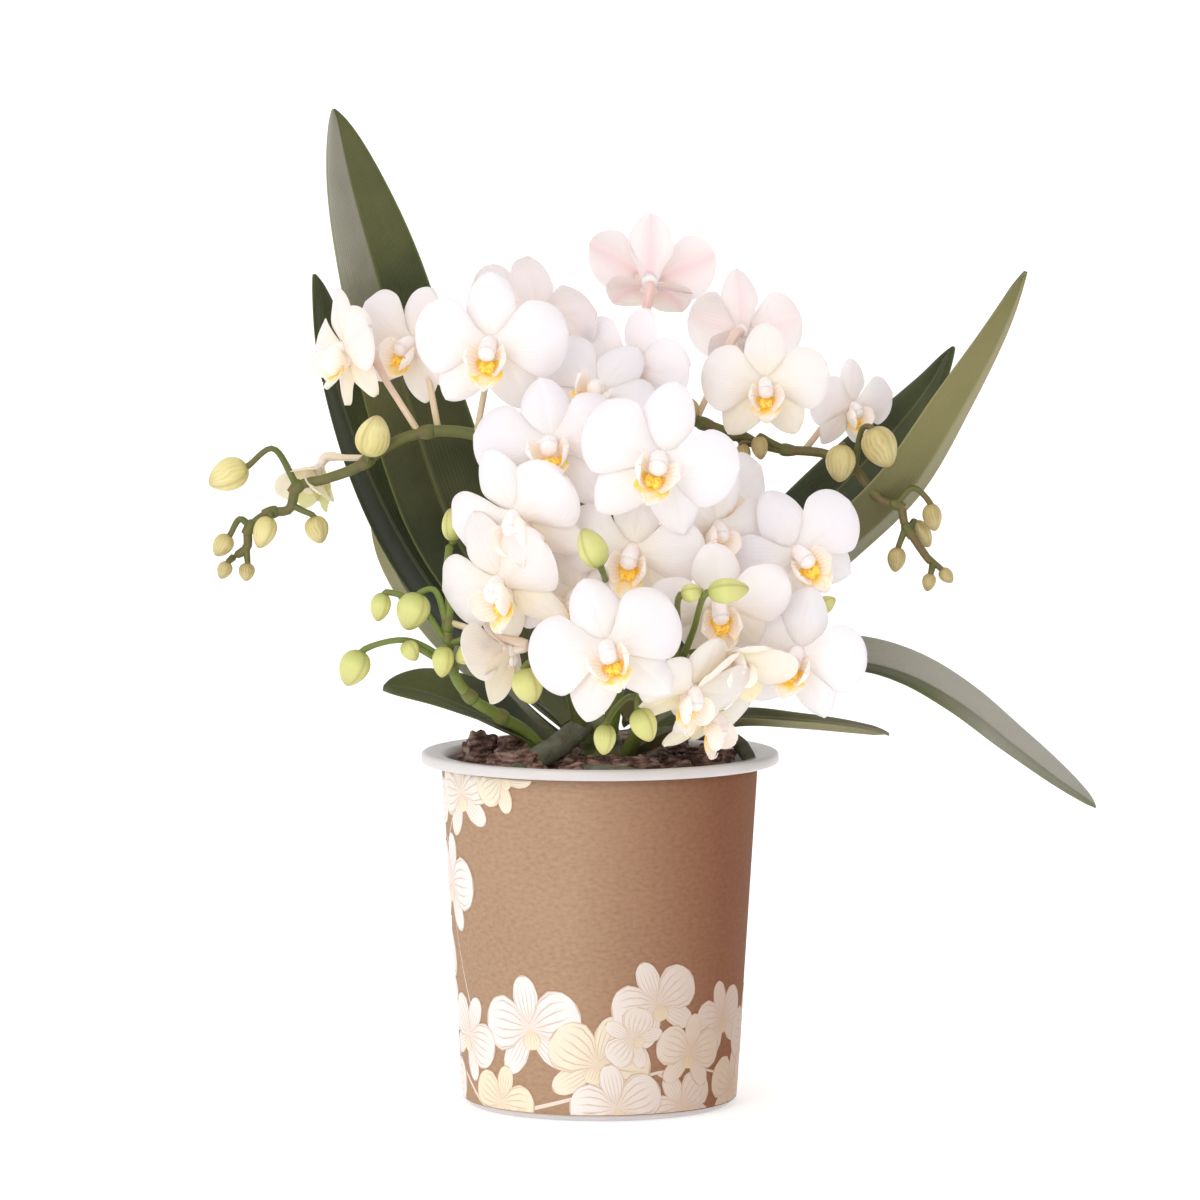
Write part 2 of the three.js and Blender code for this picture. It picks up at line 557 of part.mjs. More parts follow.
function add(name, finish, make) {
  let made = make(0);
  for (const other of placed) {
    if (made.intersect(other.solid).volume() > 0) made = made.subtract(other.grown());
  }
  // A cut can free a sliver beyond the neighbour: only the piece itself stays.
  const bodies = made.decompose();
  made = bodies.reduce((a, b) => (b.volume() > a.volume() ? b : a));
  let larger;
  placed.push({ name, solid: made, grown: () => (larger ??= make(CLEARANCE)) });

  const mesh = made.getMesh();
  const geometry = new THREE.BufferGeometry();
  geometry.setAttribute("position", new THREE.BufferAttribute(new Float32Array(mesh.vertProperties), 3));
  geometry.setIndex(new THREE.BufferAttribute(new Uint32Array(mesh.triVerts), 1));
  geometry.computeVertexNormals();
  const [color, roughness] = COLOURS[finish];
  const material = new THREE.MeshStandardMaterial({ color, roughness, metalness: 0, flatShading: true });
  const node = new THREE.Mesh(geometry, material);
  node.name = name;
  orchid.add(node);
}

const all = (table, finish, make) => {
  for (const [name, row] of Object.entries(table)) add(name, finish, (grow) => make(row, grow));
};

add("cup", "cup", cup);
add("paper_wrap", "wrap", wrap);
add("crown", "crown", crown);
all(ROOTS, "root", root);
all(LEAVES, "leaf", leaf);
all(SPIKES, "spike", spike);
all(BARK_CHIPS, "bark", barkChip);
add("bark_bed", "bark", barkBed);
all(FLOWERS, "flower", flower);

export default orchid;
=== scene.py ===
"""A miniature moth orchid in flower, in a plastic cup with a printed paper wrap.

Everything is in metres in the part's own frame: +Z up, the cup's flat base on the floor at the
origin, and the flowers facing -Y. Sizes in millimetres are multiplied by MM.
"""

import math
import random

import bmesh
import bpy
import numpy as np
from mathutils import Matrix, Vector, noise


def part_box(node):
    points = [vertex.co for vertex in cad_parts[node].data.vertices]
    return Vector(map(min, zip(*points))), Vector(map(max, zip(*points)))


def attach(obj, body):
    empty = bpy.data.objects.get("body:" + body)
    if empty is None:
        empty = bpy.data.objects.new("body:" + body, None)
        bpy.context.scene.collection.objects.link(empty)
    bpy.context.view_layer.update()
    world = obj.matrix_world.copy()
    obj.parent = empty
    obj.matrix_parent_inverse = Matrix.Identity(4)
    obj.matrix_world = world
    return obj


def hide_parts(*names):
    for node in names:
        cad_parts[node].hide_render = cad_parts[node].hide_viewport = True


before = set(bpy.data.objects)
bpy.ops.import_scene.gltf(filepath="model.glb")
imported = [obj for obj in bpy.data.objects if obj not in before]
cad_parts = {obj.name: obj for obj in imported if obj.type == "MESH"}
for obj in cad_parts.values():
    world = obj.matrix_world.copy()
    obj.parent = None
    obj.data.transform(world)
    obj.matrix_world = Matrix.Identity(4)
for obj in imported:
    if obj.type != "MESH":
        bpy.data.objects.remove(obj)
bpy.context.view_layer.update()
MM = 0.001

# ---- The cup --------------------------------------------------------------------------
# A thin white plastic cup, vacuum-formed in one piece. Its broad flange turns down in a lip
# all round, and its floor has six drain holes.

CUP_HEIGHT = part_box("cup")[1][2]
FLANGE_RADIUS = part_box("cup")[1][0]
WRAP_FOOT_RADIUS = 34.3 * MM
WRAP_TOP_RADIUS = 39.9 * MM
CARD = 0.5 * MM
PLAY = 0.3 * MM  # between the cup and its wrap
CUP_WALL = 0.9 * MM
CUP_FLOOR = 1.4 * MM
DRAIN_HOLES = 6
DRAIN_RADIUS = 3 * MM
DRAIN_CIRCLE = 21 * MM
ROUND = 144  # steps round the cup


def wrap_radius(z):
    """The outside of the paper wrap at that height."""
    return WRAP_FOOT_RADIUS + (WRAP_TOP_RADIUS - WRAP_FOOT_RADIUS) * z / CUP_HEIGHT


def piece(name, mesh, slot, *nodes):
    """A finished piece: it rides with the pot, and stands for its CAD nodes."""
    made = bpy.data.objects.new(name, mesh)
    bpy.context.scene.collection.objects.link(made)
    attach(made, "root")
    if nodes:
        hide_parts(*nodes)
    return made


class Solid:
    """Collects the skins of one piece: points, faces, UVs and the finish of each face."""

    def __init__(self):
        self.points, self.faces, self.uvs, self.tints, self.finishes = [], [], [], [], []

    def skin(self, rings, us, vs, finish=0, tint=(0.0, 0.0), poles=True):
        """A closed skin through rings of points, an (n, m, 3) array, with a pole at each end.

        us has one more value than a ring has points. finish is one number, and tint one pair, or
        a list with one for each strip of faces along the rings.
        """
        rings = np.asarray(rings, float)
        count, sides = rings.shape[:2]
        start = len(self.points)
        self.points.extend(rings.reshape(-1, 3).tolist())
        strips = [finish] * sides if isinstance(finish, int) else finish
        tints = [tint] * sides if isinstance(tint, tuple) else tint
        for i in range(count - 1 if poles else count):
            j = (i + 1) % count
            for k in range(sides):
                n = (k + 1) % sides
                corners = (i * sides + k, i * sides + n, j * sides + n, j * sides + k)
                v0, v1 = vs[i], vs[i + 1]
                uv = ((us[k], v0), (us[k + 1], v0), (us[k + 1], v1), (us[k], v1))
                self.add([start + c for c in corners], uv, strips[k], tints[k])
        if not poles:
            return
        for ring, order, v in ((0, -1, vs[0]), (count - 1, 1, vs[-1])):
            self.points.append(rings[ring].mean(axis=0).tolist())
            pole = len(self.points) - 1
            for k in range(sides):
                pair = (k, (k + 1) % sides)
                corners = [start + ring * sides + c for c in pair][::order]
                uv = [(us[k], v), (us[k + 1], v)][::order]
                self.add([*corners, pole], (*uv, (0.5 * (us[k] + us[k + 1]), v)), strips[k], tints[k])

    def add(self, corners, uv, finish, tint):
        self.faces.append(corners)
        self.uvs.extend(uv)
        self.tints.extend([tint] * len(corners))
        self.finishes.append(finish)

    def mesh(self, name, materials, smooth=True):
        """The collected skins as one mesh, facing out."""
        made = bpy.data.meshes.new(name)
        made.from_pydata(self.points, [], self.faces)
        for layer, values in (("UVMap", self.uvs), ("tint", self.tints)):
            data = made.uv_layers.new(name=layer).data
            data.foreach_set("uv", np.asarray(values, float).ravel())
        made.polygons.foreach_set("material_index", self.finishes)
        for material in materials:
            made.materials.append(material)
        made.polygons.foreach_set("use_smooth", [smooth] * len(self.faces))
        facing_out(made)
        return made


def facing_out(mesh):
    """Turns every closed skin of a mesh the right way out, and keeps its thin edges crisp."""
    work = bmesh.new()
    work.from_mesh(mesh)
    bmesh.ops.recalc_face_normals(work, faces=work.faces)
    for edge in work.edges:
        edge.smooth = edge.calc_face_angle(0) < 1.2
    work.to_mesh(mesh)
    work.free()


def turned(solid, profile, finish=0):
    """Spins a closed profile of (radius, height) pairs about Z."""
    turn = np.linspace(0, 2 * math.pi, ROUND, endpoint=False)
    rings = [[(r * math.cos(a), r * math.sin(a), z) for a in turn] for r, z in profile]
    around = np.linspace(0, 2 * math.pi * WRAP_TOP_RADIUS, ROUND + 1)
    heights = [z for _, z in profile]
    solid.skin(rings, around, heights + heights[:1], finish, poles=False)


def arc(centre, radius, start, end, steps=6):
    """Points on an arc from start to end, in degrees."""
    turns = np.radians(np.linspace(start, end, steps))
    return [(centre[0] + radius * math.cos(a), centre[1] + radius * math.sin(a)) for a in turns]


def new_finish(name):
    """A new material, its node tree and its shader."""
    made = bpy.data.materials.new(name)
    made.use_nodes = True
    return made, made.node_tree, made.node_tree.nodes["Principled BSDF"]


def node(tree, kind, inputs=None, **settings):
    """Adds a node, with its settings, and each input given a value or another node's socket."""
    made = tree.nodes.new(kind)
    for name, value in settings.items():
        setattr(made, name, value)
    plug(tree, made, inputs or {})
    return made


def plug(tree, made, inputs):
    """Links or sets a node's inputs."""
    for key, value in inputs.items():
        if isinstance(value, bpy.types.NodeSocket):
            tree.links.new(value, made.inputs[key])
        else:
            made.inputs[key].default_value = value


def ramp(tree, factor, *stops):
    """A colour ramp over a factor, from (place, colour) stops."""
    made = node(tree, "ShaderNodeValToRGB", {"Fac": factor})
    band = made.color_ramp
    while len(band.elements) < len(stops):
        band.elements.new(0.5)
    for element, (place, colour) in zip(band.elements, stops):
        element.position = place
        element.color = (*colour, 1)
    return made.outputs["Color"]


def mixed(tree, factor, a, b, blend="MIX"):
    """Two colours mixed by a factor. Either can be a tuple or a socket."""
    made = node(tree, "ShaderNodeMix", data_type="RGBA", blend_type=blend)
    colours = {6: a, 7: b}
    for key, value in colours.items():
        if not isinstance(value, bpy.types.NodeSocket):
            value = (*value, 1)
        plug(tree, made, {key: value})
    plug(tree, made, {0: factor})
    return made.outputs[2]


def maths(tree, operation, a, b=0.0, clamp=False):
    """A sum over one or two values, each a number or a socket."""
    made = node(tree, "ShaderNodeMath", {0: a, 1: b}, operation=operation, use_clamp=clamp)
    return made.outputs[0]


def bumped(tree, shader, height, distance, strength=1.0):
    """Gives a shader fine relief that stands up to that distance."""
    bump = node(
        tree, "ShaderNodeBump", {"Height": height, "Distance": distance, "Strength": strength}
    )
    plug(tree, shader, {"Normal": bump.outputs["Normal"]})


def new_group(name, inputs, outputs):
    """An empty shader node group with those named inputs and outputs, and its two end nodes."""
    tree = bpy.data.node_groups.new(name, "ShaderNodeTree")
    for label, kind, value in inputs:
        socket = tree.interface.new_socket(label, in_out="INPUT", socket_type=kind)
        if value is not None:
            socket.default_value = value
    for label in outputs:
        tree.interface.new_socket(label, in_out="OUTPUT", socket_type="NodeSocketFloat")
    return tree, tree.nodes.new("NodeGroupInput"), tree.nodes.new("NodeGroupOutput")


def make_mottle():
    """Soft uneven patches, such as in plastic, card and plant skin: 0 to 1 over the surface."""
    inputs = [
        ("Vector", "NodeSocketVector", None),
        ("Scale", "NodeSocketFloat", 100.0),
        ("Contrast", "NodeSocketFloat", 1.0),
    ]
    tree, start, end = new_group("mottle", inputs, ["Fac"])
    cloud = node(
        tree,
        "ShaderNodeTexNoise",
        {"Vector": start.outputs["Vector"], "Scale": start.outputs["Scale"], "Detail": 4.0},
    )
    centred = maths(tree, "SUBTRACT", cloud.outputs[0], 0.5)
    spread = maths(tree, "MULTIPLY", centred, start.outputs["Contrast"])
    level = maths(tree, "ADD", spread, 0.5, clamp=True)
    tree.links.new(level, end.inputs["Fac"])
    return tree


MOTTLE = make_mottle()


def mottle(tree, vector, scale, contrast=1.0):
    made = node(tree, "ShaderNodeGroup", node_tree=MOTTLE)
    plug(tree, made, {"Vector": vector, "Scale": scale, "Contrast": contrast})
    return made.outputs["Fac"]


def place_of(tree, kind="Object"):
    return node(tree, "ShaderNodeTexCoord").outputs[kind]


def stretched(tree, vector, scale):
    return node(tree, "ShaderNodeMapping", {"Vector": vector, "Scale": scale}).outputs[0]


plastic, tree, shader = new_finish("white cup plastic")
patches = mottle(tree, place_of(tree), 90.0, 1.6)
dust = mottle(tree, place_of(tree), 900.0, 2.0)
white = mixed(tree, patches, (0.62, 0.585, 0.58), (0.68, 0.645, 0.64))
gloss = node(tree, "ShaderNodeMapRange", {0: dust, 3: 0.3, 4: 0.42}).outputs[0]
plug(tree, shader, {"Base Color": white, "Roughness": gloss, "Subsurface Weight": 0.15})
plug(tree, shader, {"Subsurface Scale": 2 * MM, "Subsurface Radius": (1.0, 1.0, 1.0)})
bumped(tree, shader, patches, 0.15 * MM, 0.4)


def cup_radius(z):
    return wrap_radius(z) - CARD - PLAY


def make_cup():
    inside = cup_radius(CUP_HEIGHT) - CUP_WALL
    under = CUP_HEIGHT - 1.2 * MM
    lip = FLANGE_RADIUS - 0.75 * MM
    profile = [
        (0.01 * MM, 0),
        (cup_radius(0) - 2.0 * MM, 0),
        *arc((cup_radius(0) - 1.5 * MM, 1.5 * MM), 1.5 * MM, -90, -5),
        (cup_radius(0.5 * CUP_HEIGHT), 0.5 * CUP_HEIGHT),
        (cup_radius(under - 2.5 * MM), under - 2.5 * MM),
        (WRAP_TOP_RADIUS + 0.8 * MM, under - 0.6 * MM),
        (FLANGE_RADIUS - 2.4 * MM, under - 0.35 * MM),
        (FLANGE_RADIUS - 1.3 * MM, under - 0.75 * MM),
        *arc((lip, under - 0.85 * MM), 0.75 * MM, -150, 10),
        *arc((lip - 0.35 * MM, CUP_HEIGHT - 1.1 * MM), 1.1 * MM, 20, 90),
        (inside + 4.0 * MM, CUP_HEIGHT - 0.35 * MM),
        *arc((inside + 2.4 * MM, CUP_HEIGHT - 2.7 * MM), 2.3 * MM, 95, 175),
        (inside - 0.2 * MM, CUP_HEIGHT - 8 * MM),
        (cup_radius(3 * MM) - CUP_WALL, 3 * MM),
        (cup_radius(0) - 4 * MM, CUP_FLOOR),
        (0.01 * MM, CUP_FLOOR),
    ]
    solid = Solid()
    turned(solid, profile)
    blank = piece("cup_blank", solid.mesh("cup", [plastic]), "cup")
    drill = Solid()
    for k in range(DRAIN_HOLES):
        turn = 2 * math.pi * (k + 0.5) / DRAIN_HOLES
        centre = Vector((DRAIN_CIRCLE * math.cos(turn), DRAIN_CIRCLE * math.sin(turn), 0))
        around = np.linspace(0, 6.02, 24)
        corners = [Matrix.Rotation(a, 3, "Z") @ Vector((DRAIN_RADIUS, 0, 0)) for a in around]
        rings = [[centre + c + Vector((0, 0, z)) for c in corners] for z in (-2 * MM, 3 * MM)]
        drill.skin(rings, range(25), (0, 1))
    cutter = bpy.data.objects.new("drill", drill.mesh("drill", []))
    bpy.context.scene.collection.objects.link(cutter)
    holes = blank.modifiers.new("drain holes", "BOOLEAN")
    holes.operation = "DIFFERENCE"
    holes.object = cutter
    return applied("cup_formed", blank, "cup", "cup", cutter)


def applied(name, source, slot, node_name, *tools):
    """The source with its modifiers applied, as a finished piece, and its tools removed."""
    graph = bpy.context.evaluated_depsgraph_get()
    mesh = bpy.data.meshes.new_from_object(source.evaluated_get(graph))
    for old in (source, *tools):
        bpy.data.objects.remove(old, do_unlink=True)
    return piece(name, mesh, slot, node_name)


make_cup()

# ---- The paper wrap -------------------------------------------------------------------
# A band of brown kraft card, rolled into a cone, glued at the back and slipped over the cup
# under its flange. The card shows its fibres.

WRAP_FOOT, WRAP_TOP = (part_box("paper_wrap")[k][2] for k in (0, 1))


def channels(tree, vector):
    split = node(tree, "ShaderNodeSeparateXYZ", {0: vector})
    return split.outputs[0], split.outputs[1]


def window(tree, value, low, high, start=0.0, end=1.0):
    """A value mapped from low..high to start..end, and held there."""
    made = node(tree, "ShaderNodeMapRange", {0: value, 1: low, 2: high, 3: start, 4: end})
    return made.outputs[0]


def painted_right_shade(tree):
    """Painted shade: the card and its print grow darker and redder towards the right, where the light falls
    off: 0 at the left, 1 at the right.
    """
    return window(tree, channels(tree, place_of(tree))[0], -0.008, 0.03)


kraft, tree, shader = new_finish("kraft card")
flat = place_of(tree, "UV")
right_shade = painted_right_shade(tree)
fibres = mottle(tree, stretched(tree, flat, (1.0, 1.7, 1.0)), 620.0, 2.4)
flecks = mottle(tree, stretched(tree, flat, (1.0, 2.2, 1.0)), 2300.0, 3.2)
clouds = mottle(tree, flat, 60.0, 1.6)
brown = ramp(
    tree,
    fibres,
    (0.0, (0.345, 0.207, 0.122)),
    (0.5, (0.41, 0.262, 0.165)),
    (1.0, (0.46, 0.30, 0.195)),
)
brown = mixed(tree, maths(tree, "MULTIPLY", flecks, 0.3), brown, (0.32, 0.19, 0.11))
brown = mixed(tree, maths(tree, "MULTIPLY", clouds, 0.3), brown, (0.50, 0.32, 0.205))
# Painted shade: the card turns a deeper, redder brown towards its right side.
brown = mixed(tree, right_shade, brown, (0.54, 0.335, 0.25), "MULTIPLY")
plug(tree, shader, {"Base Color": brown, "Roughness": 0.8, "Specular IOR Level": 0.3})
bumped(tree, shader, maths(tree, "ADD", fibres, flecks), 0.08 * MM, 0.5)


def on_wrap(turn, height, out):
    """A point on the wrap: turn in radians from the front towards +X, and millimetres up and out."""
    radius = wrap_radius(height) + out
    return (radius * math.sin(turn), -radius * math.cos(turn), height)


def make_wrap():
    edge = 0.12 * MM
    solid = Solid()
    heights = [WRAP_FOOT, WRAP_FOOT + edge, *np.linspace(WRAP_FOOT + 2 * MM, WRAP_TOP - 2 * MM, 12)]
    heights += [WRAP_TOP - edge, WRAP_TOP]
    outs = [-edge, 0, *[0] * 12, 0, -edge]
    outer = [(wrap_radius(z) + out, z) for z, out in zip(heights, outs)]
    inner = [(wrap_radius(z) - CARD, z) for z in (WRAP_TOP, WRAP_FOOT)]
    turned(solid, outer + inner)
    # The glued overlap at the back stands one card's thickness proud, with a soft outer edge.
    seam = math.radians(158)
    across = np.radians([0, 0.4, 3, 7, 11, 11.25])
    outs = [-0.1 * MM, 0.3 * MM, 0.34 * MM, 0.36 * MM, 0.36 * MM, -0.1 * MM]
    rings = []
    for z in np.linspace(WRAP_FOOT + 0.3 * MM, WRAP_TOP - 0.3 * MM, 10):
        rings.append([on_wrap(seam + a, z, out) for a, out in zip(across, outs)])
    solid.skin(rings, np.append(across, 0) * WRAP_TOP_RADIUS, [ring[0][2] for ring in rings])
    piece("paper_wrap_card", solid.mesh("paper_wrap", [kraft]), "paper_wrap", "paper_wrap")


make_wrap()

# ---- The print on the wrap ------------------------------------------------------------
# Pale moth-orchid blossoms printed round the foot of the wrap and up its left side, with fine
# brown veins and pale twigs. Each petal and twig is a film of ink that lies on the card.


def make_lines():
    """Thin lines along a piece, from its UV: 1 on a line and 0 between them."""
    inputs = [
        ("Vector", "NodeSocketVector", None),
        ("Count", "NodeSocketFloat", 9.0),
        ("Wander", "NodeSocketFloat", 0.1),
        ("Fineness", "NodeSocketFloat", 6.0),
    ]
    tree, start, end = new_group("veins", inputs, ["Fac"])
    split = node(tree, "ShaderNodeSeparateXYZ", {0: start.outputs["Vector"]})
    sway = node(tree, "ShaderNodeTexNoise", {"Vector": start.outputs["Vector"], "Scale": 4.0})
    shift = maths(tree, "MULTIPLY", sway.outputs[0], start.outputs["Wander"])
    across = maths(tree, "ADD", split.outputs[0], shift)
    phase = maths(tree, "MULTIPLY", across, start.outputs["Count"])
    wave = maths(tree, "SINE", maths(tree, "MULTIPLY", phase, math.pi))
    crest = maths(tree, "POWER", maths(tree, "ABSOLUTE", wave), start.outputs["Fineness"])
    tree.links.new(crest, end.inputs["Fac"])
    return tree


VEINS = make_lines()


def veins(tree, vector, count, wander, fineness):
    made = node(tree, "ShaderNodeGroup", node_tree=VEINS)
    plug(tree, made, {"Vector": vector, "Count": count, "Wander": wander, "Fineness": fineness})
    return made.outputs["Fac"]


def tint_of(tree):
    return channels(tree, node(tree, "ShaderNodeUVMap", uv_map="tint").outputs[0])


ink, tree, shader = new_finish("pale printed ink")
flat = place_of(tree, "UV")
across, along = channels(tree, flat)
warmth, _ = tint_of(tree)
edge = maths(tree, "ABSOLUTE", maths(tree, "SUBTRACT", across, 0.5))
outline = maths(tree, "MAXIMUM", window(tree, edge, 0.465, 0.485), window(tree, along, 0.955, 0.975))
line = maths(tree, "MULTIPLY", veins(tree, flat, 6.0, 0.05, 26.0), window(tree, along, 0.86, 0.55))
line = maths(tree, "MULTIPLY", line, window(tree, along, 0.05, 0.2))
cream = mixed(tree, warmth, (0.86, 0.81, 0.785), (0.85, 0.75, 0.56))
cream = mixed(tree, window(tree, along, 0.45, 0.0, 0.0, 0.5), cream, (0.72, 0.55, 0.42))
drawn = maths(tree, "MULTIPLY", maths(tree, "MAXIMUM", outline, line), 0.62)
grain = mottle(tree, place_of(tree), 1500.0, 1.5)
cream = mixed(tree, maths(tree, "MULTIPLY", grain, 0.16), cream, (0.62, 0.47, 0.36))
# Painted shade: the print darkens and reddens towards the wrap's right side, like the card under it.
cream = mixed(tree, painted_right_shade(tree), cream, (0.62, 0.51, 0.44), "MULTIPLY")
plug(tree, shader, {"Base Color": mixed(tree, drawn, cream, (0.45, 0.26, 0.15)), "Roughness": 0.62})

INK_THICKNESS = 0.04 * MM
INK_STEP = 0.006 * MM  # each petal lies on the one before
INK_LAYERS = 7  # neighbouring blossoms lie on different layers

# A printed petal's places from its foot to its tip, and its width at each, as shares.
PETAL_PROFILE = (
    (0.0, 0.14), (0.12, 0.3), (0.35, 0.82), (0.6, 1.0), (0.82, 0.82), (0.94, 0.5), (1.0, 0.16),
)


def film(solid, outline_at, steps, layer, warmth=0.0):
    """A film of ink on the card. outline_at(t) gives the left and right edge as (turn, height)."""
    columns = 6
    top = INK_THICKNESS + layer * INK_STEP
    rings, along = [], np.linspace(0, 1, steps)
    for t in along:
        left, right = (np.asarray(side) for side in outline_at(t))
        places = [left + (right - left) * k / columns for k in range(columns + 1)]
        ring = [on_wrap(turn, height, top) for turn, height in places]
        rings.append(ring + [on_wrap(turn, height, -0.1 * MM) for turn, height in places[::-1]])
    us = [k / columns for k in range(columns + 1)]
    solid.skin(rings, us + us[::-1] + us[:1], along, tint=(warmth, 0.0))


def printed_petal(solid, centre, angle, length, width, layer, warmth):
    """One petal, pointing at an angle from a place on the card. Sizes are in metres."""
    turn, height = centre
    radius = wrap_radius(height)
    way = np.array([math.cos(angle), math.sin(angle)])
    side = np.array([-way[1], way[0]])
    places, widths = zip(*PETAL_PROFILE)

    def edges(t):
        half = 0.5 * width * float(np.interp(t, places, widths))
        middle = way * length * t
        flat = (middle + side * half, middle - side * half)
        return [(turn + x / radius, height + y) for x, y in flat]

    film(solid, edges, 13, layer, warmth)


def printed_blossom(solid, turn, height, size, roll, warmth, layer):
    """Five petals: a sepal above, two broad petals, two sepals below, and a small lip."""
    centre = (math.radians(turn), height * MM)
    size *= 0.5 * MM
    parts = ((90, 1.04, 0.56), (-50, 1.06, 0.54), (230, 1.06, 0.54), (14, 1.08, 1.12), (166, 1.08, 1.12))
    for k, (angle, length, width) in enumerate(parts):
        way = math.radians(angle + roll)
        printed_petal(solid, centre, way, length * size, width * size, layer * 6 + k, warmth)
    way = math.radians(-90 + roll)
    printed_petal(solid, centre, way, 0.42 * size, 0.4 * size, layer * 6 + 5, 1.0)


def printed_twig(solid, stops, width):
    """A pale twig through (turn, height) stops in degrees and millimetres."""
    stops = np.array([(math.radians(turn), height * MM) for turn, height in stops])
    ends = np.linspace(0, 1, len(stops))

    def edges(t):
        middle = [float(np.interp(t, ends, stops[:, k])) for k in (0, 1)]
        half = 0.5 * width * MM * (1 - 0.6 * t)
        return [(middle[0], middle[1] + half), (middle[0], middle[1] - half)]

    film(solid, edges, 28, 0, 0.3)


# Each printed blossom: degrees from the front towards +X, height and width in millimetres, roll
# in degrees, and how warm its cream is.
BLOSSOMS = (
    (-29, 23, 26, 8, 0.0), (-1, 14.5, 25, -20, 0.8), (23, 29.5, 22, 22, 0.1), (13, 21, 15, 60, 0.2),
    (39, 16.5, 19, -8, 0.4), (7, 3.5, 22, 12, 0.1), (36, 3.0, 19, 30, 0.2), (58, 24, 19, 15, 0.1),
    (-45, 3.5, 19, -15, 1.0), (-66, 19, 22, -30, 0.1), (-61, 80.5, 23, 15, 0.3), (-38, 85.5, 17, 50, 0.8),
    (-76, 57, 25, -12, 0.0), (70, 6, 20, -12, 0.5), (88, 18, 24, 6, 0.0), (112, 7, 22, 34, 0.6),
    (134, 21, 23, -16, 0.1), (157, 6, 20, 12, 0.2), (-96, 34, 24, 20, 0.5), (-92, 8, 22, -25, 0.2),
    (-118, 20, 25, 12, 0.0), (-142, 9, 22, -8, 0.9), (-168, 24, 24, 30, 0.1), (178, 8, 20, 0, 0.3),
    (-92, 78, 22, -20, 0.1), (-118, 70, 24, 40, 0.3), (-104, 50, 19, 5, 0.8), (-140, 82, 20, 10, 0.0),
)

# Each printed twig, through (degrees, millimetres up).
TWIG_WIDTH = 1.1
TWIGS = (
    ((-34, 2), (-16, 5), (0, 8), (22, 12), (40, 13), (58, 10), (76, 12)),
    ((2, 8), (10, 13), (16, 17)), ((24, 12), (34, 8), (44, 4)), ((46, 12), (50, 16), (57, 19)),
    ((76, 12), (96, 6), (118, 10), (140, 6), (166, 12)), ((96, 6), (92, 12), (88, 15)),
    ((-62, 24), (-70, 36), (-76, 48), (-80, 66), (-68, 76)), ((-80, 66), (-96, 72), (-112, 64), (-100, 54)),
    ((-60, 3), (-84, 14), (-104, 12), (-128, 16), (-152, 12), (-172, 16)),
    ((-112, 64), (-128, 74), (-140, 80)),
)


def trimmed(mesh):
    """Cuts a mesh off at the wrap's foot and top, and closes the cuts."""
    work = bmesh.new()
    work.from_mesh(mesh)
    for height, outward in ((WRAP_FOOT + 0.25 * MM, -1), (WRAP_TOP - 0.2 * MM, 1)):
        cut = bmesh.ops.bisect_plane(
            work,
            geom=[*work.verts, *work.edges, *work.faces],
            plane_co=(0, 0, height),
            plane_no=(0, 0, outward),
            clear_outer=True,
        )
        rim = [e for e in cut["geom_cut"] if isinstance(e, bmesh.types.BMEdge)]
        bmesh.ops.holes_fill(work, edges=rim)
    work.to_mesh(mesh)
    work.free()
    return mesh


def make_print():
    solid = Solid()
    for stops in TWIGS:
        printed_twig(solid, stops, TWIG_WIDTH)
    for layer, (turn, height, size, roll, warmth) in enumerate(BLOSSOMS, start=1):
        printed_blossom(solid, turn, height, size, roll, warmth, layer % INK_LAYERS + 1)
    piece("paper_wrap_print", trimmed(solid.mesh("print", [ink])), "paper_wrap", "paper_wrap")


make_print()

# ---- The bark mix ---------------------------------------------------------------------
# Damp chips of pine bark fill the cup to just under its flange. A dark bed holds them, and
# the chips on top lie loose at all angles.

BARK_LEVEL = 83 * MM

bark, tree, shader = new_finish("pine bark")
here = place_of(tree)
layers = mottle(tree, stretched(tree, here, (1.0, 1.0, 3.0)), 320.0, 2.6)
patches = mottle(tree, here, 75.0, 2.8)
grit = mottle(tree, here, 1500.0, 2.5)
brown = ramp(
    tree,
    layers,
    (0.0, (0.025, 0.014, 0.011)),
    (0.33, (0.15, 0.07, 0.052)),
    (0.62, (0.38, 0.215, 0.165)),
    (1.0, (0.58, 0.43, 0.37)),
)
brown = mixed(tree, maths(tree, "MULTIPLY", patches, 0.45), brown, (0.05, 0.024, 0.017))
plug(tree, shader, {"Base Color": brown, "Roughness": window(tree, patches, 0, 1, 0.55, 0.85)})
bumped(tree, shader, maths(tree, "ADD", layers, grit), 0.5 * MM, 0.8)


def make_bed():
    """The bed under the chips: a full cup of bark, lumpy on top."""
    side = cup_radius(BARK_LEVEL) - CUP_WALL - PLAY
    foot = cup_radius(0) - CUP_WALL - 2.4 * MM
    profile = [(foot * f, 1.8 * MM) for f in (0.02, 0.5, 1.0)]
    profile += [(foot + (side - foot) * f, 3 * MM + (BARK_LEVEL - 8 * MM) * f) for f in (0.1, 0.5, 0.96)]
    profile += [(side * f, BARK_LEVEL - 1.5 * MM) for f in np.linspace(0.99, 0.02, 26)]
    turn = np.linspace(0, 2 * math.pi, ROUND, endpoint=False)
    rings = []
    for r, z in profile:
        ring = []
        for a in turn:
            point = Vector((r * math.cos(a), r * math.sin(a), z))
            if z > BARK_LEVEL - 4 * MM and r < side * 0.985:
                point.z += 2.6 * MM * noise.noise(point * 190) + 1.2 * MM * noise.noise(point * 560)
            ring.append(point)
        rings.append(ring)
    solid = Solid()
    solid.skin(rings, range(ROUND + 1), range(len(rings)))
    return piece("bark_bed_mix", solid.mesh("bark_bed", [bark]), "bark", "bark_bed")


